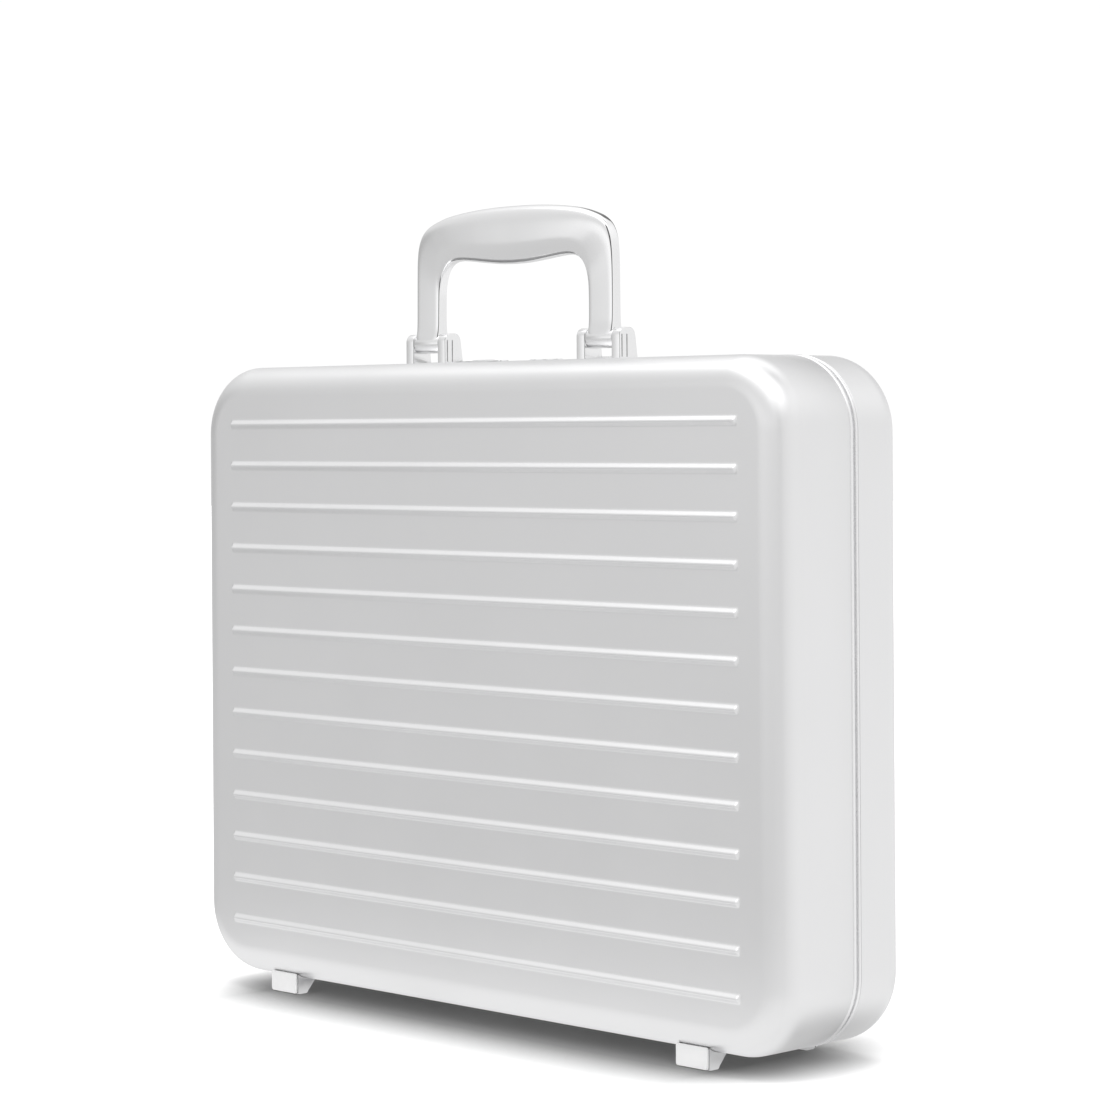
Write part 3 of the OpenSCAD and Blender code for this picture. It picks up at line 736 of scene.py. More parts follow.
GASKET_PROFILE = [(3.62, -2.48), (5.68, -2.48)]
GASKET_PROFILE += [(4.65 + 1.03 * math.cos(a), -2.2 + 0.58 * math.sin(a))
                   for a in np.linspace(0.15, math.pi - 0.15, 9)]
build("gasket_cord", sweep(GASKET_PROFILE, SEAM), "base", "rubber", "rubber", "gasket", sharp=60)

# ------------------------------------------------------------------ cloth linings
LINING_INSET, LINING_THICKNESS, LINING_UNEVEN = 2.4, 1.0, 0.9


def cloth_lie(seed):
    """soft, slightly uneven relief that fades out at the borders"""
    def height(x, z):
        fade = smoothstep(0, 26, 184 - abs(x)) * smoothstep(0, 26, 138 - abs(z))
        broad = noise.noise(Vector((x * 0.013 + seed, z * 0.011, seed)))
        small = noise.noise(Vector((x * 0.045, z * 0.05 + seed, seed + 3.1)))
        return float(-LINING_UNEVEN * fade * (0.75 * (broad + 0.35) + 0.3 * small))
    return height


for end, body, side, rim, seed in (("front", "base", -1, 14.5, 2.3), ("rear", "lid", 1, 20.5, 7.7)):
    cloth = tray(side, rim, LINING_INSET, LINING_THICKNESS, inner=cloth_lie(seed), rim_round=0.45)
    build(f"{end}_lining_cloth", cloth, body, "lining", "lining", f"{end}_lining", sharp=60)

PIPING_INSET, PIPING_RADIUS = 3.75, 0.75
PIPING_PROFILE = [(PIPING_INSET + PIPING_RADIUS * math.cos(a), PIPING_RADIUS * math.sin(a))
                  for a in np.linspace(0, 2 * math.pi, 12, endpoint=False)]
for end, body, y in (("front", "base", -15.2), ("rear", "lid", 21.2)):
    build(f"{end}_lining_piping", sweep(PIPING_PROFILE, y), body, "hem", "lining", sharp=180)

# ------------------------------------------------------------------ document pocket in the lid
POCKET_LOW, POCKET_HIGH = box_mm("document_pocket")
POCKET_COLUMNS, POCKET_ROWS = 97, 51
CLOTH_FRAMES = 24
CLOTH_REACH = 0.006  # furthest the cloth may settle, in metres


def pocket_sheet():
    """panel vertices in metres, before the cloth settles"""
    x0, x1 = POCKET_LOW[0] + 1.5, POCKET_HIGH[0] - 1.5
    z0, z1 = POCKET_LOW[2] + 1.5, POCKET_HIGH[2] - 4
    verts = []
    for row in range(POCKET_ROWS):
        for column in range(POCKET_COLUMNS):
            u, w = column / (POCKET_COLUMNS - 1), row / (POCKET_ROWS - 1)
            bulge = min(1.0, 6 * min(u, 1 - u)) * min(1.0, 5 * w)
            y = POCKET_HIGH[1] - 0.6 - 2.2 * bulge
            verts.append(((x0 + (x1 - x0) * u) * MM, y * MM, (z0 + (z1 - z0) * w) * MM))
    return verts


def settle_cloth(ob, flat_points):
    """run the cloth simulation and return the settled vertices"""
    last_column = POCKET_COLUMNS - 1
    sewn = [row * POCKET_COLUMNS + column
            for row in range(POCKET_ROWS) for column in range(POCKET_COLUMNS)
            if row == 0 or column in (0, last_column)]
    top = [(POCKET_ROWS - 1) * POCKET_COLUMNS + column for column in range(1, last_column)]
    group = ob.vertex_groups.new(name="sewn")
    group.add(sewn, 1.0, "REPLACE")
    group.add(top, 0.12, "REPLACE")
    cloth = ob.modifiers.new("Cloth", "CLOTH")
    settings = cloth.settings
    settings.vertex_group_mass = "sewn"
    settings.quality = 6
    settings.mass = 0.2
    settings.tension_stiffness = 12
    settings.compression_stiffness = 12
    settings.shear_stiffness = 6
    settings.bending_stiffness = 0.08
    settings.shrink_min = -0.055
    settings.use_pressure = True
    settings.uniform_pressure_force = 0.25
    cloth.collision_settings.use_collision = False
    cloth.collision_settings.use_self_collision = False
    settings.effector_weights.gravity = 0.6
    cloth.point_cache.frame_start = 1
    cloth.point_cache.frame_end = CLOTH_FRAMES
    for number in range(1, CLOTH_FRAMES + 1):
        SCENE.frame_set(number)
    settled = ob.evaluated_get(bpy.context.evaluated_depsgraph_get()).data
    points = np.zeros(len(settled.vertices) * 3, np.float32)
    settled.vertices.foreach_get("co", points)
    points = points.reshape(-1, 3).astype(float)
    ob.modifiers.clear()
    SCENE.frame_set(1)
    move = points - flat_points
    length = np.linalg.norm(move, axis=1)
    move *= np.minimum(1, CLOTH_REACH / np.maximum(length, 1e-9))[:, None]
    return flat_points + move


def pocket_panel():
    """build the panel and return its top edge in mm"""
    verts = pocket_sheet()
    mesh = bpy.data.meshes.new("document_pocket_panel")
    mesh.from_pydata(verts, [], grid_faces(POCKET_COLUMNS, POCKET_ROWS))
    ob = add_object("document_pocket_panel", mesh)
    points = np.array(verts)
    points = settle_cloth(ob, points)
    points[:, 1] = np.clip(points[:, 1], POCKET_LOW[1] * MM, (POCKET_HIGH[1] - 0.45) * MM)
    mesh.vertices.foreach_set("co", points.astype(np.float32).ravel())
    mesh.update()
    solidify = ob.modifiers.new("thickness", "SOLIDIFY")
    solidify.thickness = 0.0006
    solidify.offset = 0
    subdivide = ob.modifiers.new("smooth", "SUBSURF")
    subdivide.levels = subdivide.render_levels = 1
    mesh.polygons.foreach_set("use_smooth", [True] * len(mesh.polygons))
    mesh.materials.append(MATERIALS["pocket"])
    attach(ob, "lid", "document_pocket")
    return [tuple(point / MM) for point in points[-POCKET_COLUMNS:]]


def pocket_border():
    """line down the left side, along the bottom and up the right side"""
    y = POCKET_HIGH[1] - 0.75
    left, right = POCKET_LOW[0] + 1, POCKET_HIGH[0] - 1
    bottom, top = POCKET_LOW[2] + 1, POCKET_HIGH[2] - 1
    turn = [(3 * (1 - math.cos(a)), 3 * (1 - math.sin(a)))
            for a in np.linspace(0, math.pi / 2, 6)]
    line = [(left, y, top)]
    line += [(left, y, z) for z in np.linspace(top - 2, bottom + 3, 30)]
    line += [(left + dx, y, bottom + dz) for dx, dz in turn[1:]]
    line += [(x, y, bottom) for x in np.linspace(left + 7, right - 7, 60)]
    line += [(right - dx, y, bottom + dz) for dx, dz in turn[::-1]]
    line += [(right, y, z) for z in np.linspace(bottom + 5, top, 30)]
    return line


THROUGH = np.array([0.0, 1.0, 0.0])  # direction of the cloth's thickness


def tape(line, half_width, half_thickness, around=10):
    """flat rounded tape along a line"""
    points = [np.array(p, float) for p in line]
    rows = []
    for i, point in enumerate(points):
        along = points[min(i + 1, len(points) - 1)] - points[max(i - 1, 0)]
        along /= np.linalg.norm(along)
        across = np.cross(along, THROUGH)
        across /= np.linalg.norm(across)
        row = []
        for k in range(around):
            a = 2 * math.pi * k / around
            ca, sa = math.cos(a), math.sin(a)
            row.append(point + across * half_width * math.copysign(abs(ca) ** 0.6, ca)
                       + THROUGH * half_thickness * math.copysign(abs(sa) ** 0.6, sa))
        rows.append(row)
    return loft(rows)


STITCH_PITCH, STITCH_LENGTH, STITCH_RADIUS = 3.0, 2.1, 0.22
STITCH_SHAPE = [(0.0, 0.25), (0.18, 0.8), (0.5, 1.0), (0.82, 0.8), (1.0, 0.25)]  # along, thickness


def stitches(line, lift):
    """short rounded stitches along a line, moved off it by lift"""
    points = np.array(line, float)
    steps = [np.linalg.norm(b - a) for a, b in zip(points, points[1:])]
    travelled = np.concatenate([[0], np.cumsum(steps)])
    total = sum(steps)

    def at(distance):
        return np.array([np.interp(distance, travelled, points[:, k]) for k in range(3)]) + lift

    solids = []
    distance = STITCH_PITCH * 0.5
    while distance + STITCH_LENGTH < total:
        start, end = at(distance), at(distance + STITCH_LENGTH)
        across = np.cross((end - start) / np.linalg.norm(end - start), THROUGH)
        solids.append(loft([
            [start + (end - start) * part
             + (across * math.cos(a) + THROUGH * math.sin(a)) * STITCH_RADIUS * thickness
             for a in [math.pi / 3 * k for k in range(6)]]
            for part, thickness in STITCH_SHAPE
        ]))
        distance += STITCH_PITCH
    return join(solids)


hem_line = pocket_panel()
border_line = pocket_border()
for name, solid, material, sharp in (
    ("hem", tape(hem_line, 3.4, 0.75), "hem", 70),
    ("binding", tape(border_line, 2.6, 0.55), "hem", 70),
    ("stitching", stitches(border_line[2:-2], np.array((0, -0.62, 0))), "thread", 180),
    ("hem_stitching", stitches(hem_line[1:-1], np.array((0, -0.82, -1.6))), "thread", 180),
):
    build(f"document_pocket_{name}", solid, "lid", material, "lining", sharp=sharp)

# ------------------------------------------------------------------ handle
pin_low, pin_high = box_mm("handle_pin_right")
AXIS_Y = (pin_low[1] + pin_high[1]) / 2
AXIS_Z = (pin_low[2] + pin_high[2]) / 2

# right half, from the leg's foot to the middle of the grip: x and height over the case on
# the outer outline, the same on the opening's outline, half thickness, superellipse power
HANDLE_STATIONS = [
    (71.0, 9.5, 54.3, 9.5, 4.80, 6.0),
    (71.0, 13.5, 54.3, 13.4, 4.45, 7.0),
    (71.0, 17.5, 54.3, 17.0, 3.72, 8.4),
    (71.0, 22, 54.3, 21, 3.38, 9.0),
    (71.0, 34, 54.2, 30, 3.28, 8.6),
    (70.9, 46, 53.9, 37.5, 3.35, 7.6),
    (70.6, 54, 53.0, 42.6, 3.6, 6.4),
    (69.6, 60.8, 51.6, 46.4, 4.0, 5.2),
    (67.0, 66.6, 49.2, 49.6, 4.5, 4.2),
    (62.6, 70.6, 46.0, 51.6, 5.0, 3.6),
    (56.6, 73.2, 41.6, 52.5, 5.4, 3.2),
    (48.5, 75.5, 36.5, 52.5, 5.8, 2.9),
    (38.0, 77.1, 29.0, 51.8, 6.15, 2.7),
    (26.0, 78.2, 20.0, 50.8, 6.4, 2.65),
    (13.0, 78.85, 10.0, 49.9, 6.5, 2.6),
    (0.0, 79.0, 0.0, 49.6, 6.5, 2.6),
]
HANDLE_ROWS, HANDLE_AROUND = 78, 88  # rows in one half, points round a section
BARREL_PROFILE = [  # x, radius
    (53.5, 3.55), (53.5, 4.55), (53.62, 4.8), (53.9, 4.92),
    (71.2, 4.92), (71.48, 4.8), (71.6, 4.55), (71.6, 3.55),
]


def catmull(points, steps):
    points = [np.array(p, float) for p in points]
    out, last = [], len(points) - 1
    for i in range(last):
        p0, p1, p2, p3 = points[max(i - 1, 0)], points[i], points[i + 1], points[min(i + 2, last)]
        for k in range(steps):
            t = k / steps
            out.append(0.5 * (2 * p1 + (p2 - p0) * t + (2 * p0 - 5 * p1 + 4 * p2 - p3) * t * t
                              + (3 * p1 - p0 - 3 * p2 + p3) * t ** 3))
    out.append(points[-1])
    return np.array(out)


def resample(curve, count):
    """even steps along the curve, measured over all its columns"""
    lengths = np.linalg.norm(np.diff(curve, axis=0), axis=1)
    travelled = np.concatenate([[0], np.cumsum(lengths)])
    wanted = np.linspace(0, travelled[-1], count)
    return np.stack([np.interp(wanted, travelled, column) for column in curve.T], 1)


def handle_section(station):
    """superellipse between the outer outline and the opening"""
    outer, opening, (half_thickness, power) = station[0:2], station[2:4], station[4:6]
    middle, half = (outer + opening) / 2, (outer - opening) / 2
    points = []
    for k in range(HANDLE_AROUND):
        a = 2 * math.pi * k / HANDLE_AROUND
        a += 0.14 * min(1.0, (power - 2.5) / 3) * math.sin(4 * a)  # spreads the points
        ca, sa = math.cos(a), math.sin(a)
        u = math.copysign(abs(ca) ** (2 / power), ca)
        v = math.copysign(abs(sa) ** (2 / power), sa)
        points.append((middle[0] + half[0] * u, AXIS_Y + half_thickness * v,
                       TOP + middle[1] + half[1] * u))
    return points


def handle():
    right = resample(catmull(HANDLE_STATIONS, 7), HANDLE_ROWS)
    left = right[::-1][1:].copy()
    left[:, [0, 2]] *= -1
    solids = [loft([handle_section(station) for station in np.concatenate([right, left])])]
    for m in (-1, 1):
        solids.append(turned([(m * x, r) for x, r in BARREL_PROFILE], AXIS_Y, AXIS_Z, 56))
    return join(solids)


def on_barrel(polygon):
    corners = [grip.data.vertices[k].co for k in polygon.vertices]
    return all(math.hypot(c.y - AXIS_Y * MM, c.z - AXIS_Z * MM) < 4.95 * MM for c in corners)


grip = build("handle_casting", handle(), "handle", "polished", "polished", "handle", sharp=40)
second_material(grip, "frame", on_barrel)  # the barrels are less bright than the grip

# ------------------------------------------------------------------ handle brackets
EAR_LOW, EAR_HIGH = box_mm("handle_bracket_right")
EAR_THICKNESS = 5.6
EAR_HEIGHT = EAR_HIGH[2] - TOP
EAR_RADIUS = 4.0
GROOVE_STARTS = [EAR_LOW[1] + 1.2, EAR_LOW[1] + 4.7]  # y of the two grooves' front sides
GROOVE_WIDTH = 0.85
GROOVE_BOTTOM, GROOVE_TOP = TOP + 0.9, TOP + 12.4


def ear_outline():
    front, back, foot = EAR_LOW[1], AXIS_Y + 6.4, AXIS_Y + 8.0
    top = EAR_HEIGHT - EAR_RADIUS
    points = [(front, 0.0), (foot, 0.0), (foot - 0.02, 1.0), (back + 0.15, top - 0.6)]
    points += arc(back - EAR_RADIUS, top, EAR_RADIUS, 0.05, math.pi / 2, 9)
    points += arc(front + EAR_RADIUS, top, EAR_RADIUS, math.pi / 2, math.pi, 9)
    return [(y, TOP + z) for y, z in points]


def cut_mesh(solid, cutters):
    """mesh of the solid with each cutter taken away"""
    base = add_object("cut_base", solid_mesh("cut_base", solid))
    made = []
    for k, cutter in enumerate(cutters):
        tool = add_object("cutter", solid_mesh("cutter", cutter))
        boolean = base.modifiers.new(f"cut{k}", "BOOLEAN")
        boolean.operation, boolean.solver, boolean.object = "DIFFERENCE", "EXACT", tool
        made.append(tool)
    mesh = evaluated_mesh(base)
    for ob in made + [base]:
        bpy.data.objects.remove(ob)
    return mesh


def in_groove(face):
    centre = face.calc_center_median() / MM
    depth = min(abs(abs(centre.x) - EAR_LOW[0]), abs(abs(centre.x) - EAR_HIGH[0]))
    return (0.2 < depth < 0.7 and GROOVE_BOTTOM - 0.1 < centre.z < GROOVE_TOP + 0.2
            and any(y - 0.05 < centre.y < y + GROOVE_WIDTH + 0.1 for y in GROOVE_STARTS))


def bracket(side, hand):
    """two grooved ears on a base plate; hand turns the right bracket into either"""
    bm = bmesh.new()
    for x0, x1, groove_x in (
        (EAR_LOW[0], EAR_LOW[0] + EAR_THICKNESS, EAR_LOW[0]),
        (EAR_HIGH[0] - EAR_THICKNESS, EAR_HIGH[0], EAR_HIGH[0]),
    ):
        cutters = [
            bar(rounded_rect(y, y + GROOVE_WIDTH, GROOVE_BOTTOM, GROOVE_TOP, 0.38, 4),
                groove_x - 0.6, groove_x + 0.6, soft=0.15, steps=2)
            for y in GROOVE_STARTS
        ]
        ear = bar(ear_outline(), x0, x1, soft=0.42, steps=4)
        bm.from_mesh(cut_mesh(hand(ear), [hand(cutter) for cutter in cutters]))
    # painted shade: faces inside the grooves take the second, dark metal
    for face in bm.faces:
        if in_groove(face):
            face.material_index = 1
    base = plate((EAR_LOW[0] + 0.4, EAR_HIGH[0] - 0.4, EAR_LOW[1] + 0.3, AXIS_Y + 7.7, 0.5),
                 TOP, TOP + 0.8, ease=0.25)
    bm.from_mesh(solid_mesh("bracket_base", hand(base)))
    name = f"handle_bracket_{side}_casting"
    ob = finish(name, clean_mesh(name, bm), "base", "polished", "polished",
                f"handle_bracket_{side}", sharp=35)
    ob.data.materials.append(MATERIALS["groove"])


def as_drawn(solid):
    return solid


HANDS = (("right", as_drawn), ("left", mirror_x))
for side, hand in HANDS:
    bracket(side, hand)


# ------------------------------------------------------------------ feet
def foot_outline():
    """(distance from y = 0, z), counter-clockwise; the top follows the shell's edge"""
    points = [(24.6, BOTTOM), (30.4, 1.5)]
    points += arc(31.9, 1.0, 1.0, math.radians(205), math.radians(270), 5)
    points += arc(36.3, 1.4, 1.4, math.radians(270), math.radians(360), 7)
    for d in np.linspace(37.7, 29.0, 8):
        drop = math.sqrt(max(0.0, (EDGE_RADIUS + 0.05) ** 2 - (d - EDGE_CENTRE) ** 2))
        points.append((d, BOTTOM + EDGE_RADIUS - drop))
    return points


def foot(end, body, outwards, side):
    """wedge block, and a bright plate standing off it on a dark sheet that paints the shade in the
    gap between them
    """
    name = f"{end}_foot_{side}"
    low, high = box_mm(name)
    x0, x1 = low[0], high[0]
    outline = [(outwards * y, z) for y, z in foot_outline()][::outwards]
    build(f"{name}_block", bar(outline, x0, x1, soft=0.55),
          body, "foot", "foot", name, sharp=42)

    verts, faces = plate((x0, x1, 0.5, 11.0, 1.3), 0.0, 1.1, ease=0.35)
    upright = [(x, outwards * (38.3 + z), y) for x, y, z in verts], faces
    # painted shade: a thin dark sheet fills the gap between plate and block
    verts, faces = soft_box(x0 + 0.35, x1 - 0.35, 37.5, 38.5, 0.7, 10.4, radius=0.1)
    shade_shim = [(x, outwards * y, z) for x, y, z in verts], faces
    plate_name = f"{end}_foot_plate_{side}"
    cap = build(f"{plate_name}_cap", join([upright, shade_shim]),
                body, "plate", "polished", plate_name, sharp=40)
    # the dark sheet takes the rubber colour, painted shade
    second_material(cap, "rubber", lambda polygon: abs(polygon.center[1]) / MM < 38.25)


for end, body, outwards in (("front", "base", -1), ("rear", "lid", 1)):
    for side in ("left", "right"):
        foot(end, body, outwards, side)

# ------------------------------------------------------------------ lock cover and buttons
COVER_LOW, COVER_HIGH = box_mm("lock_cover")
dial_low, dial_high = box_mm("dial_middle")
DIAL_Y = (dial_low[1] + dial_high[1]) / 2
DIAL_Z = (dial_low[2] + dial_high[2]) / 2
DIAL_PITCH = 8.0

windows = [(i * DIAL_PITCH - 3.2, i * DIAL_PITCH + 3.2, DIAL_Y - 3.7, DIAL_Y + 3.7, 0.6)
           for i in (-1, 0, 1)]
windows += [(x0, x0 + 13.0, DIAL_Y - 1.8, DIAL_Y + 1.8, 1.0) for x0 in (37.0, -50.0)]
cover = plate((COVER_LOW[0], COVER_HIGH[0], COVER_LOW[1], COVER_HIGH[1], 2.6),
              COVER_LOW[2], COVER_HIGH[2], ease=0.3, holes=windows)
build("lock_cover_plate", cover, "lid", "polished", "polished", "lock_cover", sharp=40)


def button():
    """right slider: top plate with five raised bars, a stem and an inner block"""
    solids = [plate((30.0, 62.0, DIAL_Y - 3.4, DIAL_Y + 3.4, 2.2),
                    TOP + 0.75, TOP + 1.75, ease=0.35)]
    for i in range(5):
        x = 40.9 + i * 2.6
        outline = rounded_rect(DIAL_Y - 2.6, DIAL_Y + 2.6, TOP + 1.5, TOP + 2.2, 0.3, 4)
        solids.append(bar(outline, x - 0.55, x + 0.55, soft=0.28))
    solids.append(soft_box(43, 49, DIAL_Y - 1.5, DIAL_Y + 1.5, TOP - 9, TOP + 1.0, 0.25))
    solids.append(soft_box(40, 60, DIAL_Y - 3.1, DIAL_Y + 3.1, TOP - 12, TOP - 8, 0.35))
    return join(solids)


for side, hand in HANDS:
    build(f"latch_button_{side}_slider", hand(button()), f"latch_{side}",
          "polished", "polished", f"latch_button_{side}", sharp=40)

# ------------------------------------------------------------------ dials
DRUM_RADIUS = 3.8
WHEEL_PROFILE = [  # x from the wheel's middle, radius
    (-2.9, 1.27), (-2.9, 3.55), (-2.82, 3.78), (-2.6, 4.0), (-2.3, 4.0), (-2.15, 3.78),
    (2.15, 3.78), (2.3, 4.0), (2.6, 4.0), (2.82, 3.78), (2.9, 3.55), (2.9, 1.27),
]
FONT = bpy.data.curves.new("numeral", "FONT")
FONT.size = 2.5 * MM
FONT.align_x, FONT.align_y = "CENTER", "CENTER"
FONT.resolution_u = 3
FONT.extrude = 0.03 * MM


def knurl(radius, a):
    """20 notches round the two raised rims"""
    if radius <= DRUM_RADIUS:
        return radius
    return radius - 0.22 * (0.5 + 0.5 * math.cos(20 * a)) ** 3


def numeral(digit, dial_x):
    """one digit bent onto the drum, its top towards +Y when it faces up"""
    FONT.body = str(digit)
    text = add_object("numeral_tmp", FONT)
    mesh = evaluated_mesh(text)
    bpy.data.objects.remove(text)
    drum = DRUM_RADIUS * MM
    for vertex in mesh.vertices:
        a = vertex.co.y / drum
        radius = drum + vertex.co.z
        vertex.co = Vector((vertex.co.x * 0.92, radius * math.sin(a), radius * math.cos(a) - drum))
    mesh.transform(
        Matrix.Translation(Vector((dial_x * MM, DIAL_Y * MM, DIAL_Z * MM)))
        @ Matrix.Rotation(-math.radians(36 * digit), 4, "X")
        @ Matrix.Translation(Vector((0, 0, drum))))
    return mesh


def dial(place, dial_x):
    body = f"dial_{place}"
    profile = [(dial_x + x, radius) for x, radius in WHEEL_PROFILE]
    build(f"{body}_wheel", turned(profile, DIAL_Y, DIAL_Z, 200, knurl),
          body, "polished", "polished", body, sharp=35)
    bm = bmesh.new()
    for digit in range(10):
        mesh = numeral(digit, dial_x)
        bm.from_mesh(mesh)
        bpy.data.meshes.remove(mesh)
    name = f"{body}_numerals"
    finish(name, clean_mesh(name, bm), body, "paint", "polished", sharp=30)


dial("left", -DIAL_PITCH)
dial("middle", 0.0)
dial("right", DIAL_PITCH)

# ------------------------------------------------------------------ parts kept from the frame
KNOWN_SLOTS = ("steel", "bushing", "shell", "frame", "polished", "foot", "rubber", "lining")
NODE_SLOTS = {part["node"]: part.get("material_slot")
              for part in frame["record"].get("subparts", ())}


def dress_kept_part(name, ob):
    """material and eased edges; springs other than detent springs keep their edges"""
    slot = NODE_SLOTS.get(name)
    ob.data.materials.clear()
    ob.data.materials.append(MATERIALS[slot if slot in KNOWN_SLOTS else "steel"])
    if "spring" in name and "detent" not in name:
        return
    weld = ob.modifiers.new("weld", "WELD")
    weld.merge_threshold = 1e-6
    low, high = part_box(name)
    thin = min(np.array(high) - np.array(low)) <= 0.0006
    bevel = ob.modifiers.new("eased", "BEVEL")
    bevel.width = (0.05 if thin else 0.12) * MM
    bevel.segments = 2
    bevel.limit_method = "ANGLE"
    bevel.angle_limit = math.radians(50)


for name, ob in frame["nodes"].items():
    if not ob.hide_render:
        dress_kept_part(name, ob)

# ------------------------------------------------------------------ floor
FLOOR_HALF = 9
BACK_RIGHT = (0.72, 0.695)  # x, y of the direction that the right side mirrors


def contact_shade(graph, camera_ray, bsdf, off_centre):
    """white floor for the camera, with a painted shadow: its colour darkens with ambient occlusion
    near the case; towards the case's ends it turns white again and glows to hide the real shade
    there
    """
    occlusion = graph.add("AmbientOcclusion", {"Distance": 0.095}, samples=32).outputs["AO"]
    ends = graph.map_range(off_centre, (0.160, 0.222))
    shadow = graph.map_range(occlusion, source=(0.50, 0.81), target=(0.22, 0.99))
    seen = graph.mix_float(ends, shadow, 0.99)
    grey = graph.mix_float(camera_ray, 0.80, seen)
    # painted light: the floor glows for the camera, more towards the case's ends
    lift = graph.map_range(ends, target=(0.07, 0.26))
    colour = graph.add("CombineColor", {0: grey, 1: grey, 2: grey})
    graph.set(bsdf, {
        "Roughness": 0.9,
        "Specular IOR Level": 0.05,
        "Base Color": colour.outputs[0],
        "Emission Color": (1, 1, 1, 1),
        "Emission Strength": graph.math("MULTIPLY", lift, camera_ray),
    })


def mirrored_floor(graph, position, y, off_centre):
    """glow that the metal mirrors in place of the lit floor, a painted reflection: level 1 close to
    the case, less or more with direction far off
    """
    beyond = graph.vector("SUBTRACT", graph.vector("ABSOLUTE", position),
                          (HALF_WIDTH * MM, 0.044, 0.0))
    beyond = graph.vector("MAXIMUM", beyond, (0, 0, 0))
    distance = graph.vector("LENGTH", beyond, output="Value")
    heading = graph.vector("DOT_PRODUCT", graph.vector("NORMALIZE", position),
                           (*BACK_RIGHT, 0.0), output="Value")
    far = graph.map_range(heading, source=(-0.35, 0.75), target=(0.67, 0.97))
    level = graph.mix_float(graph.map_range(distance, (0.02, 0.20)), 1.00, far)
    # painted shadow in that glow, under and just behind the case: fades along x, then in and out
    # along y
    shadow = graph.map_range(off_centre, (0.205, 0.235), (1.0, 0.0))
    for source, target in (((-0.032, -0.008), (0.0, 1.0)), ((0.035, 0.085), (1.0, 0.0))):
        shadow = graph.math("MULTIPLY", shadow, graph.map_range(y, source, target))
    keep = graph.map_range(shadow, target=(1.0, 0.66))
    return graph.add("Emission", {"Strength": graph.math("MULTIPLY", keep, level)})


def floor_material():
    material, graph, bsdf = principled("floor")
    rays = graph.add("LightPath").outputs
    geometry = graph.add("NewGeometry").outputs
    x, y, _ = graph.xyz(geometry["Position"])
    off_centre = graph.math("ABSOLUTE", x)
    contact_shade(graph, rays["Is Camera Ray"], bsdf, off_centre)
    mirrored = mirrored_floor(graph, geometry["Position"], y, off_centre)
    # painted reflection: mirror rays that have not bounced diffusely see the glowing floor
    direct = graph.math("LESS_THAN", rays["Diffuse Depth"], 0.5)
    surface = graph.mix_shader(
        graph.math("MULTIPLY", direct, rays["Is Glossy Ray"]), bsdf, mirrored)
    # clear when seen from below, and open where a swung lid dips under it
    under = graph.add("AmbientOcclusion", {"Distance": 0.12}, inside=True, samples=12)
    hole = graph.math("LESS_THAN", under.outputs["AO"], 0.30)
    back = graph.math("MULTIPLY", geometry["Backfacing"], rays["Is Camera Ray"])
    surface = graph.mix_shader(
        graph.math("MAXIMUM", hole, back), surface, graph.add("BsdfTransparent"))
    graph.set(graph.output, {"Surface": surface.outputs[0]})
    return material


floor_mesh = bpy.data.meshes.new("studio_floor")
floor_mesh.from_pydata(
    [(x * FLOOR_HALF, y * FLOOR_HALF, 0) for x, y in ((-1, -1), (1, -1), (1, 1), (-1, 1))],
    [], [(0, 1, 2, 3)])
floor_mesh.materials.append(floor_material())
add_object("studio_floor", floor_mesh)

# ------------------------------------------------------------------ world
# mirrored level near the horizon, by azimuth in degrees from -Y towards +X
HORIZON_LEVELS = [
    (-180, 0.96), (-155, 0.88), (-125, 0.70), (-100, 0.56), (-75, 0.48), (-60, 0.52),
    (-48, 0.74), (-36, 1.04), (-20, 1.12), (0, 1.06), (35, 0.95), (80, 0.95),
    (134, 0.90), (160, 0.92), (180, 0.94),
]
# the rest go by the upward part of the direction, 0 at the horizon and 1 overhead
SKY_LEVELS = [
    (0.0, 0.76), (0.25, 0.76), (0.45, 0.80), (0.60, 0.86), (0.70, 0.98), (0.80, 1.12),
    (0.88, 1.42), (0.93, 1.30), (0.97, 1.05), (1.0, 0.98),
]
BACK_RIGHT_CUT = [(0.0, 0.0), (0.62, 0.0), (0.80, 0.30), (0.92, 0.66), (1.0, 0.72)]
SOFT_LEVELS = [(0.0, 0.42), (0.30, 0.42), (0.55, 1.05), (0.75, 1.75), (1.0, 1.90)]
RAMP_SCALE = 2.0  # colour ramps store levels divided by this
# narrow dark card near the camera's direction
CARD_HALF_WIDTH = math.radians(3.4)
CARD_SOFTNESS = math.radians(1.5)
CARD_TOP = 0.75
CARD_DEPTH = 0.35


def level_ramp(graph, value, stops):
    """piecewise linear curve through (value, level) stops"""
    low, high = stops[0][0], stops[-1][0]
    node = graph.add("ValToRGB", {0: graph.map_range(value, (low, high))})
    elements = node.color_ramp.elements
    positions = [(stop - low) / (high - low) for stop, _ in stops]
    elements[0].position, elements[1].position = positions[0], positions[-1]
    for position in positions[1:-1]:
        elements.new(position)
    for element, (_, level) in zip(sorted(elements, key=lambda e: e.position), stops):
        element.color = (level / RAMP_SCALE,) * 3 + (1,)
    return graph.math("MULTIPLY", node.outputs["Color"], RAMP_SCALE)


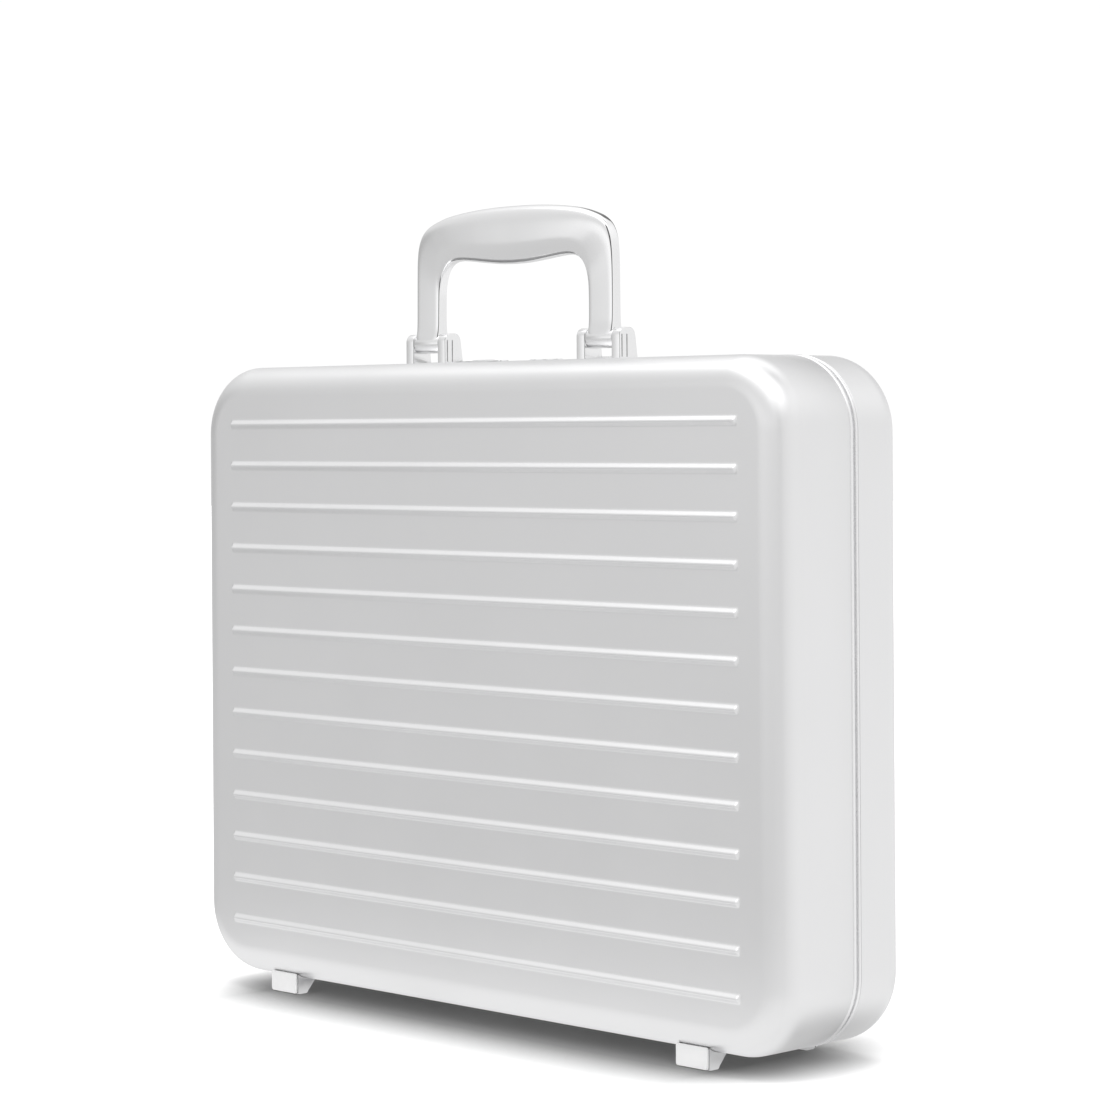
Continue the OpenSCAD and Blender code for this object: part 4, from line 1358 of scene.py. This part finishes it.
def sky_level(graph, x, y, z):
    """mirrored level above the horizon"""
    def add(*pair):
        return graph.math("ADD", *pair)

    def times(*pair):
        return graph.math("MULTIPLY", *pair)

    level = level_ramp(graph, z, SKY_LEVELS)
    # lift towards the back right
    towards = add(times(x, BACK_RIGHT[0]), times(y, BACK_RIGHT[1]))
    level = add(level, graph.step(towards, 0.25, 0.8, (0.0, 0.20)))
    # darker high up at the back right
    back_right = times(graph.step(y, -0.18, 0.10), graph.step(x, 0.0, 0.3))
    cut = times(back_right, level_ramp(graph, z, BACK_RIGHT_CUT))
    level = graph.math("SUBTRACT", level, cut)
    # a little darker at the back left
    back_left = times(graph.step(y, 0.35, 0.75), graph.step(x, 0.0, 0.5, (0.12, 0.0)))
    level = graph.math("SUBTRACT", level, back_left)
    # bright lobe high at the front right
    lobe = add(times(x, 0.45), add(times(y, -0.45), times(z, 0.77)))
    return add(level, graph.step(lobe, 0.84, 0.95, (0.0, 0.50)))


def mirrored_level(graph, x, y, z):
    azimuth = graph.azimuth(x, y)
    degrees = graph.math("MULTIPLY", azimuth, 180 / math.pi)
    level = graph.mix_float(
        graph.step(z, 0.06, 0.42),
        level_ramp(graph, degrees, HORIZON_LEVELS),
        sky_level(graph, x, y, z))
    off_card = graph.math("ABSOLUTE", graph.math("SUBTRACT", azimuth, CARD_AZIMUTH))
    card = graph.math(
        "MULTIPLY",
        graph.fall(off_card, CARD_HALF_WIDTH, CARD_HALF_WIDTH + CARD_SOFTNESS),
        graph.fall(z, CARD_TOP, CARD_TOP + 0.08))
    keep = graph.math("SUBTRACT", 1.0, graph.math("MULTIPLY", card, CARD_DEPTH))
    return graph.math("MULTIPLY", level, keep)


def studio_world():
    """separate backgrounds for the camera, for mirroring and for diffuse light"""
    world = bpy.data.worlds.new("studio")
    SCENE.world = world
    graph = Graph(world, "OutputWorld")
    world.cycles.sampling_method = "NONE"
    x, y, z = graph.xyz(graph.add("TexCoord").outputs["Generated"])
    seen, mirrored, diffuse = [
        graph.add("Background", {"Color": (1, 1, 1, 1), "Strength": strength})
        for strength in (1.02, mirrored_level(graph, x, y, z), level_ramp(graph, z, SOFT_LEVELS))
    ]
    rays = graph.add("LightPath").outputs
    light = graph.mix_shader(rays["Is Diffuse Ray"], mirrored, diffuse)
    everything = graph.mix_shader(rays["Is Camera Ray"], light, seen)
    graph.set(graph.output, {0: everything.outputs[0]})


studio_world()


# ------------------------------------------------------------------ light and camera
def top_softbox():
    light = bpy.data.lights.new("softbox_top", "AREA")
    light.shape = "RECTANGLE"
    light.size, light.size_y = 1.8, 1.2
    light.energy = 5
    place, target = Vector((-0.5, -0.6, 2.2)), Vector((0.0, 0.0, 0.2))
    ob = add_object("softbox_top", light)
    ob.location = place
    ob.rotation_euler = (target - place).to_track_quat("-Z", "Y").to_euler()


CAMERA_PLACE = Vector((1.173794, -1.148127, 0.298844))
CAMERA_TURN, CAMERA_ROLL = 0.802, -0.00655  # radians


def camera():
    data = bpy.data.cameras.new("camera")
    ob = add_object("camera", data)
    data.sensor_fit = "HORIZONTAL"
    data.sensor_width = 36.0
    data.lens = 105.8298545
    data.shift_x = 0.0374709091
    data.shift_y = -0.10959
    data.clip_start, data.clip_end = 0.05, 60
    ob.matrix_world = (
        Matrix.Translation(CAMERA_PLACE)
        @ Matrix.Rotation(CAMERA_TURN, 4, "Z")
        @ Matrix.Rotation(math.radians(90), 4, "X")
        @ Matrix.Rotation(CAMERA_ROLL, 4, "Z")
    )
    SCENE.camera = ob


top_softbox()
camera()
SCENE.view_settings.view_transform = "Standard"
SCENE.view_settings.look = "None"
